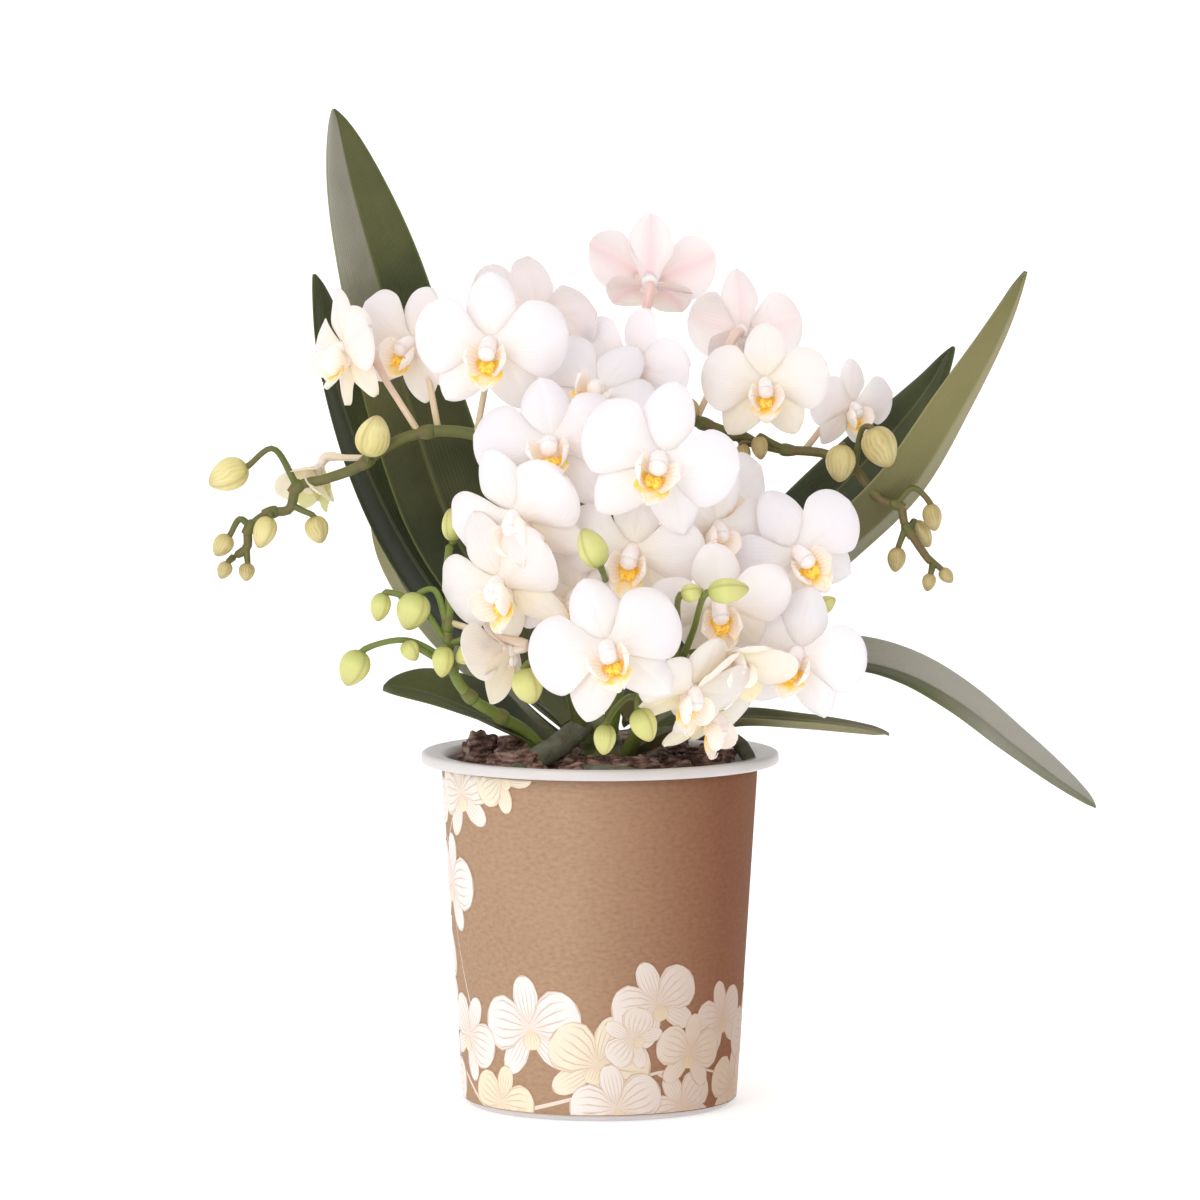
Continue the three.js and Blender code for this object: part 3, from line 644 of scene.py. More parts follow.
def chip_tree():
    """Geometry Nodes: chips of bark scattered over a surface, with no two alike."""
    tree = bpy.data.node_groups.new("bark chips", "GeometryNodeTree")
    tree.interface.new_socket("Geometry", in_out="OUTPUT", socket_type="NodeSocketGeometry")
    for label, kind, value in (
        ("Geometry", "NodeSocketGeometry", None),
        ("Spacing", "NodeSocketFloat", 4 * MM),
        ("Chip length", "NodeSocketFloat", 8 * MM),
        ("Seed", "NodeSocketInt", 4),
        ("Bark", "NodeSocketMaterial", None),
    ):
        socket = tree.interface.new_socket(label, in_out="INPUT", socket_type=kind)
        if value is not None:
            socket.default_value = value
    start, end = tree.nodes.new("NodeGroupInput"), tree.nodes.new("NodeGroupOutput")
    given = start.outputs
    points = node(
        tree,
        "GeometryNodeDistributePointsOnFaces",
        {"Mesh": given["Geometry"], "Distance Min": given["Spacing"], "Seed": given["Seed"]},
        distribute_method="POISSON",
    )
    plug(tree, points, {"Density Max": 60000.0})
    block = node(tree, "GeometryNodeMeshIcoSphere", {"Radius": 0.5, "Subdivisions": 3})
    flat = node(tree, "GeometryNodeTransform", {"Geometry": block.outputs["Mesh"], "Scale": (1, 0.72, 0.5)})
    placed = node(
        tree,
        "GeometryNodeInstanceOnPoints",
        {"Points": points.outputs["Points"], "Instance": flat.outputs["Geometry"]},
    )
    for socket, low, high, seed in (
        ("Rotation", (-0.7, -0.7, 0.0), (0.7, 0.7, 6.28), 1),
        ("Scale", (0.5, 0.5, 0.4), (1.15, 1.0, 1.1), 2),
    ):
        limits = {"Min": low, "Max": high, "Seed": seed}
        chance = node(tree, "FunctionNodeRandomValue", limits, data_type="FLOAT_VECTOR")
        value = chance.outputs["Value"]
        if socket == "Scale":
            sized = node(tree, "ShaderNodeVectorMath", {0: value}, operation="SCALE")
            plug(tree, sized, {"Scale": given["Chip length"]})
            value = sized.outputs["Vector"]
        plug(tree, placed, {socket: value})
    real = node(tree, "GeometryNodeRealizeInstances", {"Geometry": placed.outputs["Instances"]})
    place = node(tree, "GeometryNodeInputPosition")
    rough = node(tree, "ShaderNodeTexNoise", {"Vector": place.outputs[0], "Scale": 260.0, "Detail": 2.0})
    cells = node(tree, "ShaderNodeTexVoronoi", {"Vector": place.outputs[0], "Scale": 190.0})
    both = node(tree, "ShaderNodeVectorMath", {0: rough.outputs["Color"], 1: cells.outputs["Color"]})
    terms = {0: both.outputs[0], 1: (1.0, 1.0, 1.0)}
    centred = node(tree, "ShaderNodeVectorMath", terms, operation="SUBTRACT")
    push = node(tree, "ShaderNodeVectorMath", {0: centred.outputs[0], "Scale": 2.0 * MM}, operation="SCALE")
    torn = node(tree, "GeometryNodeSetPosition", {"Geometry": real.outputs[0], "Offset": push.outputs[0]})
    done = node(tree, "GeometryNodeSetMaterial", {"Geometry": torn.outputs[0], "Material": given["Bark"]})
    tree.links.new(done.outputs[0], end.inputs[0])
    return tree


def set_inputs(modifier, **values):
    """Sets a Geometry Nodes modifier's inputs by their names, through their identifiers."""
    for item in modifier.node_group.interface.items_tree:
        key = item.name.replace(" ", "_").lower()
        if item.in_out == "INPUT" and key in values:
            modifier[item.identifier] = values[key]


def make_chips():
    """A round of points just under the flange, with a chip on each."""
    reach = cup_radius(BARK_LEVEL) - CUP_WALL - 4.6 * MM
    plate = bpy.data.meshes.new("chip ground")
    turn = np.linspace(0, 2 * math.pi, 40, endpoint=False)
    height = BARK_LEVEL + 3.4 * MM
    plate.from_pydata([(reach * math.cos(a), reach * math.sin(a), height) for a in turn], [], [range(40)])
    ground = bpy.data.objects.new("chip ground", plate)
    bpy.context.scene.collection.objects.link(ground)
    scatter = ground.modifiers.new("chips", "NODES")
    scatter.node_group = chip_tree()
    set_inputs(scatter, spacing=3.0 * MM, chip_length=9.0 * MM, seed=7, bark=bark)
    return applied("bark_chips_scattered", ground, "bark", "bark_bed")


# The loose chips that stand above the rest: [x, y, z], length, width, height, turn and tilt.
LOOSE_CHIPS = {
    "bark_chip_left": ((-30, -6, 88.5), (10, 8, 13), 20, 12),
    "bark_chip_front_left": ((-21, -23, 88.5), (14, 9, 8), -35, 8),
    "bark_chip_front": ((8, -28, 87.5), (13, 9, 7), 15, -10),
    "bark_chip_right": ((28, -15, 88.5), (11, 9, 9), 60, 10),
    "bark_chip_back": ((6, 26, 88), (15, 10, 7), -20, 8),
    "bark_chip_back_left": ((-22, 19, 88), (12, 9, 7), 40, -8),
}


def make_loose_chip(name, centre, size, turn, tilt):
    """A torn flake of bark: a block whose faces are broken up in layers."""
    work = bmesh.new()
    bmesh.ops.create_icosphere(work, subdivisions=4, radius=1)
    spin = Matrix.Rotation(math.radians(turn), 3, "Z") @ Matrix.Rotation(math.radians(tilt), 3, "X")
    middle = Vector(centre) * MM
    for vert in work.verts:
        blocky = Vector([math.copysign(abs(c) ** 0.55, c) for c in vert.co]) * 0.82
        torn = 1 + 0.22 * noise.noise(blocky * 2.1 + middle * 900)
        torn += 0.1 * noise.cell(blocky * 3 + middle * 900)
        local = Vector([0.5 * MM * s * c for s, c in zip(size, blocky * torn)])
        vert.co = middle + spin @ local
    mesh = bpy.data.meshes.new(name)
    work.to_mesh(mesh)
    work.free()
    mesh.materials.append(bark)
    mesh.polygons.foreach_set("use_smooth", [True] * len(mesh.polygons))
    piece(name + "_flake", mesh, "bark", name)


make_bed()
make_chips()
for chip_name, chip in LOOSE_CHIPS.items():
    make_loose_chip(chip_name, *chip)

# ---- Crown and air roots --------------------------------------------------------------
# The crown is the short green stem that holds the leaves. Thick air roots leave it, dull
# grey-green with a papery skin, and one lies on the bark by the flange.


class Route:
    """A smooth line through stops given in millimetres, measured along its length from 0 to 1."""

    def __init__(self, stops):
        stops = [np.asarray(stop, float) for stop in stops]
        ends = [2 * stops[0] - stops[1], *stops, 2 * stops[-1] - stops[-2]]
        share = np.linspace(0, 1, 24, endpoint=False)[:, None]
        runs = []
        for a, b, c, d in zip(ends, ends[1:], ends[2:], ends[3:]):
            ab, bc, cd = (math.sqrt(np.linalg.norm(q - p)) for p, q in ((a, b), (b, c), (c, d)))
            leave = ((b - a) / ab - (c - a) / (ab + bc) + (c - b) / bc) * bc
            arrive = ((c - b) / bc - (d - b) / (bc + cd) + (d - c) / cd) * bc
            bend, ease = 3 * (c - b) - 2 * leave - arrive, 2 * (b - c) + leave + arrive
            runs.append(b + leave * share + bend * share**2 + ease * share**3)
        self.fine = np.vstack([*runs, stops[-1][None]]) * MM
        lengths = np.linalg.norm(np.diff(self.fine, axis=0), axis=1)
        self.marks = np.concatenate([[0], np.cumsum(lengths)]) / lengths.sum()
        self.length = lengths.sum()

    def at(self, t):
        return np.array([np.interp(t, self.marks, self.fine[:, k]) for k in range(3)])

    def way(self, t):
        ahead = self.at(min(t + 0.01, 1)) - self.at(max(t - 0.01, 0))
        return ahead / np.linalg.norm(ahead)

    def nearest(self, place):
        """The place on the line that is nearest to another place."""
        return self.fine[np.argmin(np.linalg.norm(self.fine - place, axis=1))]


def tube(solid, route, radius_at, steps, sides=12, finish=0, tint=(0.0, 0.0), rough=0.0):
    """A closed round stalk along a route. Its V runs along it and its U round it."""
    side = np.cross(route.way(0), (0.31, 0.17, 0.93))
    rings = []
    for t in np.linspace(0, 1, steps + 1):
        way = route.way(t)
        side = side - way * side.dot(way)
        side /= np.linalg.norm(side)
        other = np.cross(way, side)
        ring = []
        for a in np.linspace(0, 2 * math.pi, sides, endpoint=False):
            out = side * math.cos(a) + other * math.sin(a)
            radius = radius_at(t) * MM
            if rough:
                radius *= 1 + rough * noise.noise(Vector(route.at(t) + out * MM * 3) * 320)
            ring.append(route.at(t) + out * radius)
        rings.append(ring)
    solid.skin(rings, np.linspace(0, 1, sides + 1), np.linspace(0, 1, steps + 1), finish, tint)


def round_ends(t, radius, tip=0.04):
    """A radius that closes to a dome over the last part of a stalk."""
    return radius * math.sqrt(max(1 - max((t - (1 - tip)) / tip, 0) ** 2, 0.004))


root_skin, tree, shader = new_finish("air root skin")
here = place_of(tree)
patches = mottle(tree, here, 220.0, 2.4)
fuzz = mottle(tree, here, 1600.0, 2.4)
grey = mixed(tree, patches, (0.065, 0.07, 0.035), (0.20, 0.20, 0.145))
plug(tree, shader, {"Base Color": grey, "Roughness": 0.75})
bumped(tree, shader, maths(tree, "ADD", patches, fuzz), 0.25 * MM, 0.7)

# Each root's stops, and its radius where it leaves the crown and at its tip.
ROOTS = {
    "root_front": (((-4, -7, 96), (-12, -17, 91), (-19, -25, 87.5), (-21, -28, 85)), 3.0, 3.0),
    "root_right": (((9, -4, 92), (24, -8, 94.5), (34, -10, 92.5), (38, -11, 87)), 2.4, 1.7),
    "root_rim": (((-8, -27, 86.5), (2, -34, 87.5), (12, -33, 86.5)), 1.9, 1.5),
}
for root_name, (stops, thick, thin) in ROOTS.items():
    solid = Solid()
    root_route = Route(stops)
    tube(solid, root_route, lambda t: round_ends(t, thick + (thin - thick) * t), 40, 16, rough=0.12)
    piece(root_name + "_skin", solid.mesh(root_name, [root_skin]), "root", root_name)

crown_skin, tree, shader = new_finish("crown skin")
here = place_of(tree)
green = mixed(tree, mottle(tree, here, 160.0, 2.0), (0.10, 0.13, 0.03), (0.20, 0.21, 0.08))
plug(tree, shader, {"Base Color": green, "Roughness": 0.5})
bumped(tree, shader, mottle(tree, here, 500.0, 2.0), 0.2 * MM, 0.5)

CROWN_STOPS = ((0, 0, 78), (0, 0, 88), (0, 0, 98.5))
CROWN_RADIUS = 5.2
solid = Solid()
tube(solid, Route(CROWN_STOPS), lambda t: round_ends(t, CROWN_RADIUS, 0.35), 24, 24, rough=0.2)
piece("crown_stem", solid.mesh("crown", [crown_skin]), "crown", "crown")

# ---- Leaves ---------------------------------------------------------------------------
# Thick strap leaves folded along a sunken midrib. The upper side is a waxy dark green, with a
# painted sheen that pales some halves to grey; the under side is a yellower green with a keel, and
# fine veins run the whole length.


def make_leaf_skin(name, dark, middle, light, rib, roughness, coat):
    """One side of a leaf: its greens, the colour of its midrib, margins and foot, and its shine."""
    made, tree, shader = new_finish(name)
    flat = place_of(tree, "UV")
    here = place_of(tree)
    across, along = channels(tree, flat)
    shade, bronze = tint_of(tree)
    lines = veins(tree, flat, 34.0, 0.03, 2.0)
    clouds = mottle(tree, here, 38.0, 2.2)
    pores = mottle(tree, here, 1300.0, 2.0)
    # Painted shade: a leaf is darker towards its foot, in the flowers' shadow, except on a half with
    # the palest green, its painted sheen.
    lower = window(tree, along, 0.38, 0.64, 0.12, 1.0)
    lower = maths(tree, "MAXIMUM", lower, window(tree, shade, 0.94, 0.98))
    shade = maths(tree, "MULTIPLY", shade, lower)
    shade = maths(tree, "ADD", shade, window(tree, clouds, 0, 1, -0.14, 0.14), clamp=True)
    green = ramp(tree, shade, (0.0, dark), (0.4, middle), (1.0, light))
    green = mixed(tree, maths(tree, "MULTIPLY", bronze, clouds), green, (0.20, 0.15, 0.085))
    green = mixed(tree, maths(tree, "MULTIPLY", lines, 0.14), green, middle)
    centre = maths(tree, "ABSOLUTE", maths(tree, "SUBTRACT", across, 0.5))
    green = mixed(tree, window(tree, centre, 0.035, 0.004, 0.0, 0.55), green, rib)
    green = mixed(tree, window(tree, centre, 0.47, 0.5, 0.0, 0.6), green, rib)
    base = window(tree, along, 0.22, 0.0, 0.0, 0.55)
    green = mixed(tree, base, green, rib)
    shine = window(tree, clouds, 0, 1, roughness - 0.05, roughness + 0.1)
    plug(tree, shader, {"Base Color": green, "Roughness": shine, "Specular IOR Level": 0.3})
    plug(tree, shader, {"Coat Weight": coat, "Coat Roughness": 0.35})
    plug(tree, shader, {"Subsurface Weight": 0.12, "Subsurface Scale": 1.5 * MM})
    plug(tree, shader, {"Subsurface Radius": (0.6, 1.0, 0.2)})
    height = maths(tree, "ADD", lines, maths(tree, "MULTIPLY", pores, 0.5))
    bumped(tree, shader, height, 0.12 * MM, 0.55)
    return made


leaf_upper = make_leaf_skin(
    "leaf upper side",
    dark=(0.022, 0.032, 0.007),
    middle=(0.10, 0.112, 0.03),
    light=(0.42, 0.405, 0.35),
    # The palest upper green is a grey: a painted sheen of the bright studio on the waxy leaf.
    rib=(0.17, 0.18, 0.07),
    roughness=0.42,
    coat=0.06,
)
leaf_under = make_leaf_skin(
    "leaf under side",
    dark=(0.08, 0.08, 0.03),
    middle=(0.20, 0.185, 0.06),
    light=(0.34, 0.30, 0.13),
    rib=(0.30, 0.28, 0.13),
    roughness=0.5,
    coat=0.04,
)

# The midrib's stops, the way the upper side faces, width, fold in degrees, edge wave, how pale
# the green is on its two halves (its own tone, and on the palest halves a painted sheen), how
# bronze, and how blunt its tip is.
LEAVES = {
    "leaf_tall_left": (
        ((-5, 4, 97), (-18, 13, 112), (-36, 18, 140), (-47, 18, 170), (-56, 16, 205), (-63, 14, 231),
         (-67, 12, 250)), (0.42, -0.85, 0.25), 32, 24, 0.7, (0.76, 0.22), 0.1),
    "leaf_outer_left": (
        ((-7, 6, 93), (-24, 20, 106), (-45, 27, 130), (-60, 28, 158), (-69, 25, 186), (-72, 22, 208)),
        (0.75, -0.55, 0.35), 30, 24, 0.5, (0.1, 0.16), 0),
    "leaf_back_left": (
        ((-9, 9, 90), (-25, 28, 99), (-44, 38, 115), (-56, 40, 134), (-59, 38, 151)),
        (0.8, 0.1, 0.6), 24, 20, 0.6, (0.3, 0.4), 0.1),
    "leaf_low_left": (
        ((-9, -3, 90), (-20, -9, 94), (-33, -15, 100.5), (-44, -18, 105), (-54, -19, 107)),
        (0.15, -0.4, 0.9), 27, 26, 0.4, (0.2, 0.26), 0),
    "leaf_tall_right": (
        ((6, 0, 97), (20, 6, 106), (40, 8, 120), (60, 2, 138), (77, -3, 155), (90, -5, 176),
         (100, -5, 195), (106, -4, 210)), (-0.62, 0.6, 0.5), 24, 22, 0.5, (0.78, 0.45), 0.25),
    "leaf_inner_right": (
        ((6, 5, 98), (20, 16, 112), (40, 22, 132), (60, 24, 152), (75, 22, 168), (84, 19, 180),
         (89, 16, 190)), (-0.5, -0.7, 0.5), 22, 22, 0.6, (0.06, 0.12), 0),
    "leaf_arched_right": (
        ((8, -2, 92), (26, -1, 102), (46, 0, 109), (64, 0, 111), (77, -2, 108), (90, -5, 101),
         (103, -8, 91), (115, -11, 82), (124, -13, 76)),
        (0.35, -0.42, 0.85), 19, 24, 0.7, (1, 0.68), 0.2, 9),
    "leaf_low_right": (
        ((8, -7, 89), (20, -13, 94.5), (35, -18, 98), (50, -20, 97.5), (62, -21, 96.5), (72, -21, 95.5)),
        (0, -0.05, 1), 17, 26, 0.3, (0.5, 0.6), 0.6),
}
LEAF_THICKNESS = 1.5
LEAF_COLUMNS = 22


def smooth(t, end):
    """Eases from 0 at 0 to 1 at the end."""
    t = min(max(t / end, 0), 1)
    return t * t * (3 - 2 * t)


def make_leaf(name, stops, face, width, fold, wave, pale, bronze, blunt=4.5):
    """Lofts a folded strap with a blunt tip. Its edges swell and sink a little on the way."""
    route = Route(stops)
    face = np.asarray(face, float) / np.linalg.norm(face)
    fold = math.radians(fold)
    phase = len(name) * 1.7
    slants = np.linspace(-1, 1, LEAF_COLUMNS + 1)
    rings = []
    marks = np.linspace(0, 1, 73)
    for mark in marks:
        t = 1 - (1 - mark) ** 1.35
        t = min(t, 0.9985)
        way = route.way(t)
        up = face - way * face.dot(way)
        up /= np.linalg.norm(up)
        side = np.cross(way, up)
        half = 0.5 * width * (0.42 + 0.58 * smooth(t, 0.42)) * (1 - t**blunt) ** 0.7
        middle = route.at(t)

        def spot(s, upper):
            lift = half * math.sin(fold) * (math.sqrt(s * s + 0.012) - 0.11)
            lift += wave * s * s * math.sin(9 * t + phase + (1.3 if s > 0 else 0)) - 0.9 * s**4
            body = 0.5 * LEAF_THICKNESS * math.sqrt(max(1 - abs(s) ** 3, 0)) * min(1, half / 3)
            if upper:
                lift += body - 0.45 * math.exp(-((s / 0.06) ** 2)) * (1 - t)
            else:
                lift -= body + 0.5 * math.exp(-((s / 0.08) ** 2)) * (1 - t)
            return middle + (side * s * half * math.cos(fold) + up * lift) * MM

        rings.append([spot(s, True) for s in slants] + [spot(s, False) for s in slants[-2:0:-1]])
    us = [0.5 + 0.5 * s for s in (*slants, *slants[-2:0:-1], slants[0])]
    strips = [0] * LEAF_COLUMNS + [1] * LEAF_COLUMNS
    first, second = ([(shade, bronze)] * (LEAF_COLUMNS // 2) for shade in pale)
    solid = Solid()
    solid.skin(rings, us, marks, strips, first + second + second + first)
    piece(name + "_blade", solid.mesh(name, [leaf_upper, leaf_under]), "leaf", name)


for leaf_name, leaf in LEAVES.items():
    make_leaf(leaf_name, *leaf)

# ---- Flower spikes and buds -----------------------------------------------------------
# Smooth stalks that zigzag from joint to joint, green low down and browner at the tip. A bract
# clasps each joint, and the buds stand on short stalks, seamed where their sepals meet.

stalk_skin, tree, shader = new_finish("spike skin")
flat, here = place_of(tree, "UV"), place_of(tree)
_, along = channels(tree, flat)
brownness, freshness = tint_of(tree)
streaks = mottle(tree, here, 420.0, 2.6)
green = mixed(tree, freshness, (0.082, 0.11, 0.02), (0.17, 0.24, 0.04))
turned_brown = maths(tree, "MULTIPLY", brownness, window(tree, along, 0.5, 0.95, 0.25, 1.0))
green = mixed(tree, turned_brown, green, (0.17, 0.105, 0.045))
green = mixed(tree, maths(tree, "MULTIPLY", streaks, 0.3), green, (0.19, 0.19, 0.06))
plug(tree, shader, {"Base Color": green, "Roughness": 0.45, "Specular IOR Level": 0.35})
plug(tree, shader, {"Subsurface Weight": 0.15, "Subsurface Scale": 1 * MM})
plug(tree, shader, {"Subsurface Radius": (0.8, 1.0, 0.3)})
bumped(tree, shader, streaks, 0.1 * MM, 0.5)

bud_skin, tree, shader = new_finish("bud skin")
flat, here = place_of(tree, "UV"), place_of(tree)
_, along = channels(tree, flat)
brownness, freshness = tint_of(tree)
body = ramp(
    tree,
    along,
    (0.0, (0.30, 0.27, 0.07)),
    (0.22, (0.70, 0.60, 0.24)),
    (0.65, (0.80, 0.70, 0.34)),
    (1.0, (0.46, 0.33, 0.13)),
)
fresh = ramp(
    tree,
    along,
    (0.0, (0.24, 0.31, 0.05)),
    (0.45, (0.60, 0.64, 0.21)),
    (0.8, (0.52, 0.53, 0.17)),
    (1.0, (0.30, 0.26, 0.08)),
)
skin = mixed(tree, freshness, body, fresh)
skin = mixed(tree, window(tree, brownness, 0.55, 1.2, 0.0, 0.62), skin, (0.34, 0.26, 0.115))
stripes = maths(tree, "MULTIPLY", veins(tree, flat, 18.0, 0.1, 2.5), brownness)
patches = mottle(tree, here, 260.0, 2.5)
stripes = maths(tree, "MULTIPLY", stripes, window(tree, patches, 0.2, 0.8, 0.05, 0.5))
skin = mixed(tree, stripes, skin, (0.30, 0.17, 0.07))
seams = maths(tree, "MULTIPLY", veins(tree, flat, 3.0, 0.0, 60.0), 0.45)
skin = mixed(tree, seams, skin, (0.33, 0.27, 0.08))
plug(tree, shader, {"Base Color": skin, "Roughness": 0.4, "Subsurface Weight": 0.3})
plug(tree, shader, {"Subsurface Scale": 1.5 * MM, "Subsurface Radius": (1.0, 0.8, 0.3)})
bumped(tree, shader, maths(tree, "SUBTRACT", stripes, seams), 0.12 * MM, 0.6)

# A bud: centre, length, width, the way it points (degrees from +X towards +Z), how far its
# stalk arches up, and its place on the spike from 0 to 1.
SPIKES = {
    "spike_left": dict(
        stops=((-4, -8, 93), (-9, -16, 115), (-13, -22, 138), (-17, -25, 156), (-24, -24, 167),
               (-33, -23, 170.5), (-44, -22, 170.5), (-52, -22, 167.5), (-60, -22, 162),
               (-68, -22, 159), (-75, -22, 157), (-77, -22, 151.5), (-82, -22, 150.5),
               (-87, -22, 146.5), (-87.5, -22, 142), (-91, -22, 139.5)),
        thick=2.2, thin=1.15, brown=0.55, fresh=0.1,
        joints=(0.3, 0.5, 0.615, 0.72, 0.835, 0.9, 0.94),
        buds=(((-56, -27, 170), 10.5, 9, 75, 0, 0.72), ((-92, -23, 160), 10.5, 8.5, 205, 7, 0.835),
              ((-70, -23, 146.5), 7, 6.2, 285, 0, 0.865), ((-83, -25, 146), 8.3, 6, 250, 0, 0.9),
              ((-93.5, -22, 142.5), 6.2, 5.2, 235, 3, 0.94), ((-93, -24, 136.5), 4.6, 3.9, 245, 0, 1),
              ((-87.5, -23, 136), 4.6, 4.2, 265, 0, 0.975)),
    ),
    "spike_right": dict(
        stops=((3, 5, 96), (4, 6, 120), (3, 6, 145), (0, 3, 165), (1, 1, 178), (7, 1, 178.5),
               (12, 2, 175.5), (21, 3, 172.5), (28, 3, 170.5), (36, 2, 167.5), (45, 0, 165),
               (56, -2, 164), (63.5, -4, 160.5), (67, -6, 156), (70.5, -7, 152.5), (75, -8, 151),
               (76, -9, 147), (79.5, -10, 141.5), (83, -10, 136.5)),
        thick=2.0, thin=1.05, brown=0.9, fresh=0.0,
        joints=(0.35, 0.6, 0.66, 0.72, 0.81, 0.86, 0.9, 0.94),
        buds=(((22, 2, 175.5), 7, 5, 130, 0, 0.6), ((30.5, -1, 165.5), 5, 3.8, 250, 0, 0.66),
              ((36, -2, 164), 5, 3.8, 285, 0, 0.69), ((40, -3, 165.5), 6, 4.4, 275, 0, 0.72),
              ((60, -9, 162), 9.4, 7.8, 265, 1, 0.81), ((70, -9, 166), 10.8, 9.2, 295, 5, 0.82),
              ((83, -9, 148.5), 7, 5, 280, 4, 0.9), ((74, -10, 138), 6.3, 4.8, 262, 0, 0.935),
              ((80.5, -5, 144), 7.5, 5.2, 300, 0, 0.94), ((82, -12, 132.5), 4.6, 3.6, 258, 0, 1),
              ((86.5, -10, 134), 4.4, 3.6, 310, 0, 0.985)),
    ),
    "spike_low_left": dict(
        stops=((-13, -14, 88), (-18, -18, 95), (-25.5, -27, 101), (-31, -33, 105), (-35, -36, 110),
               (-37, -38, 116), (-37.5, -38, 122), (-37, -37, 130), (-37.5, -35, 138), (-37, -33, 144)),
        thick=1.9, thin=1.0, brown=0.1, fresh=0.8,
        joints=(0.28, 0.45, 0.58, 0.66, 0.72),
        buds=(((-46, -38, 127.5), 9.6, 8.6, 250, 5, 0.72), ((-54, -37, 128.5), 7.2, 5.2, 258, 4, 0.66),
              ((-60.5, -38, 113.5), 9.4, 7.8, 245, 4, 0.6), ((-46.5, -40, 118), 5.5, 4.8, 300, 0, 0.58),
              ((-38.5, -42, 115.5), 7.8, 5.6, 265, 0, 0.62), ((-31.5, -42, 118), 9, 6.5, 212, 1, 0.66),
              ((-36.5, -33, 148.5), 8.2, 5.4, 95, 0, 1)),
    ),
    "spike_front": dict(
        stops=((2, -10, 92), (4, -20, 106), (4, -28, 122), (1, -32, 138), (-4, -30, 152),
               (-6, -24, 166), (-2, -18, 176), (8, -16, 182)),
        thick=2.1, thin=1.4, brown=0.1, fresh=0.7,
        joints=(0.25, 0.42, 0.62, 0.8),
        buds=(((-2, -66, 145.5), 10.2, 7.4, 115, 0, 0.42), ((-17.5, -52, 110.5), 9, 8, 285, 4, 0.25)),
    ),
    "spike_low_right": dict(
        stops=((7, -11, 90), (11, -26, 99), (16, -35, 108), (22, -38, 117), (29, -36, 125),
               (36, -30, 132), (42, -22, 138)),
        thick=2.0, thin=1.2, brown=0.1, fresh=0.75,
        joints=(0.3, 0.48, 0.66, 0.8),
        buds=(((31, -70, 135.5), 10, 6.4, 5, 0, 0.5), ((22.3, -68, 134.8), 5.6, 4.7, 10, 0, 0.48),
              ((55, -42, 129.5), 6.3, 4.6, 30, 0, 0.8), ((1.2, -58, 98), 7.6, 5.7, 265, 5, 0.3),
              ((10.8, -62, 102), 8.6, 6.8, 292, 7, 0.34)),
    ),
}
STALK, BUD = 0, 1  # the two finishes of a spike
BUD_STALK = 0.75  # its radius
RIPE_BUD = 9  # a shorter bud is younger, and browner


def make_bud(solid, route, tint, centre, length, width, points, arch, at):
    """A bud and the stalk that carries it."""
    centre = np.array(centre, float)
    angle = math.radians(points)
    way = np.array([math.cos(angle), 0, math.sin(angle)])
    base, start = centre - way * 0.5 * length, route.at(at) / MM
    middle = 0.5 * (base + start) + (0, 0, arch)
    carried = Route((start, middle, base, base + 2 * way))
    tube(solid, carried, lambda t: BUD_STALK * (1.25 - 0.45 * t + 0.5 * t**6), 18, 10, STALK, tint)
    side = np.cross(way, (0, 1, 0))
    out = np.cross(way, side)
    rings, marks = [], np.linspace(0, 1, 19)
    for mark in marks:
        t = 0.5 - 0.5 * math.cos(math.pi * min(max(mark, 0.02), 0.985))
        swell = 2 * math.sqrt(t * (1 - t)) * (1 + 0.28 * (0.45 - t)) * (1 - 0.2 * t**4)
        ring = []
        for a in np.linspace(0, 2 * math.pi, 24, endpoint=False):
            lobe = 1 - 0.05 * abs(math.cos(1.5 * a)) ** 8
            radius = 0.5 * width * swell * lobe
            ring.append((base + way * length * t + radius * (side * math.cos(a) + out * math.sin(a))) * MM)
        rings.append(ring)
    solid.skin(rings, np.linspace(0, 1, 25), marks, BUD, tint)


def make_bract(solid, route, at, radius, tint):
    """The small sheath that clasps a joint: a short flared cup round the stalk."""
    middle, way = route.at(at) / MM, route.way(at)
    stops = (middle - way * 1.6, middle, middle + way * 2.4)

    def flared(t):
        return radius * (1.02 + 0.35 * math.sin(math.pi * t**0.7))

    tube(solid, Route(stops), flared, 10, 12, STALK, tint)


ROUTES = {name: Route(spike["stops"]) for name, spike in SPIKES.items()}


def make_spike(name, thick, thin, brown, fresh, joints, buds, stops):
    solid, route, tint = Solid(), ROUTES[name], (brown, fresh)

    def radius_at(t):
        return round_ends(t, (thick + (thin - thick) * t**0.8) * 0.96, 0.015)

    tube(solid, route, radius_at, 8 * len(stops), 16, STALK, tint, rough=0.05)
    for at in joints:
        make_bract(solid, route, at, radius_at(at), (min(1, brown + 0.5), fresh * 0.5))
    for bud in buds:
        youth = max(0, RIPE_BUD - bud[1]) / 8
        make_bud(solid, route, (brown + youth, fresh), *bud)
    piece(name + "_stalk", solid.mesh(name, [stalk_skin, bud_skin]), "spike", name)


for spike_name, spike in SPIKES.items():
    make_spike(spike_name, **spike)

# ---- Flowers --------------------------------------------------------------------------
# Each has two broad round petals in front, three narrower sepals behind, a short capped column
# and a small lip. The tepals are thin, soft and faintly veined, and a cream stalk carries each.


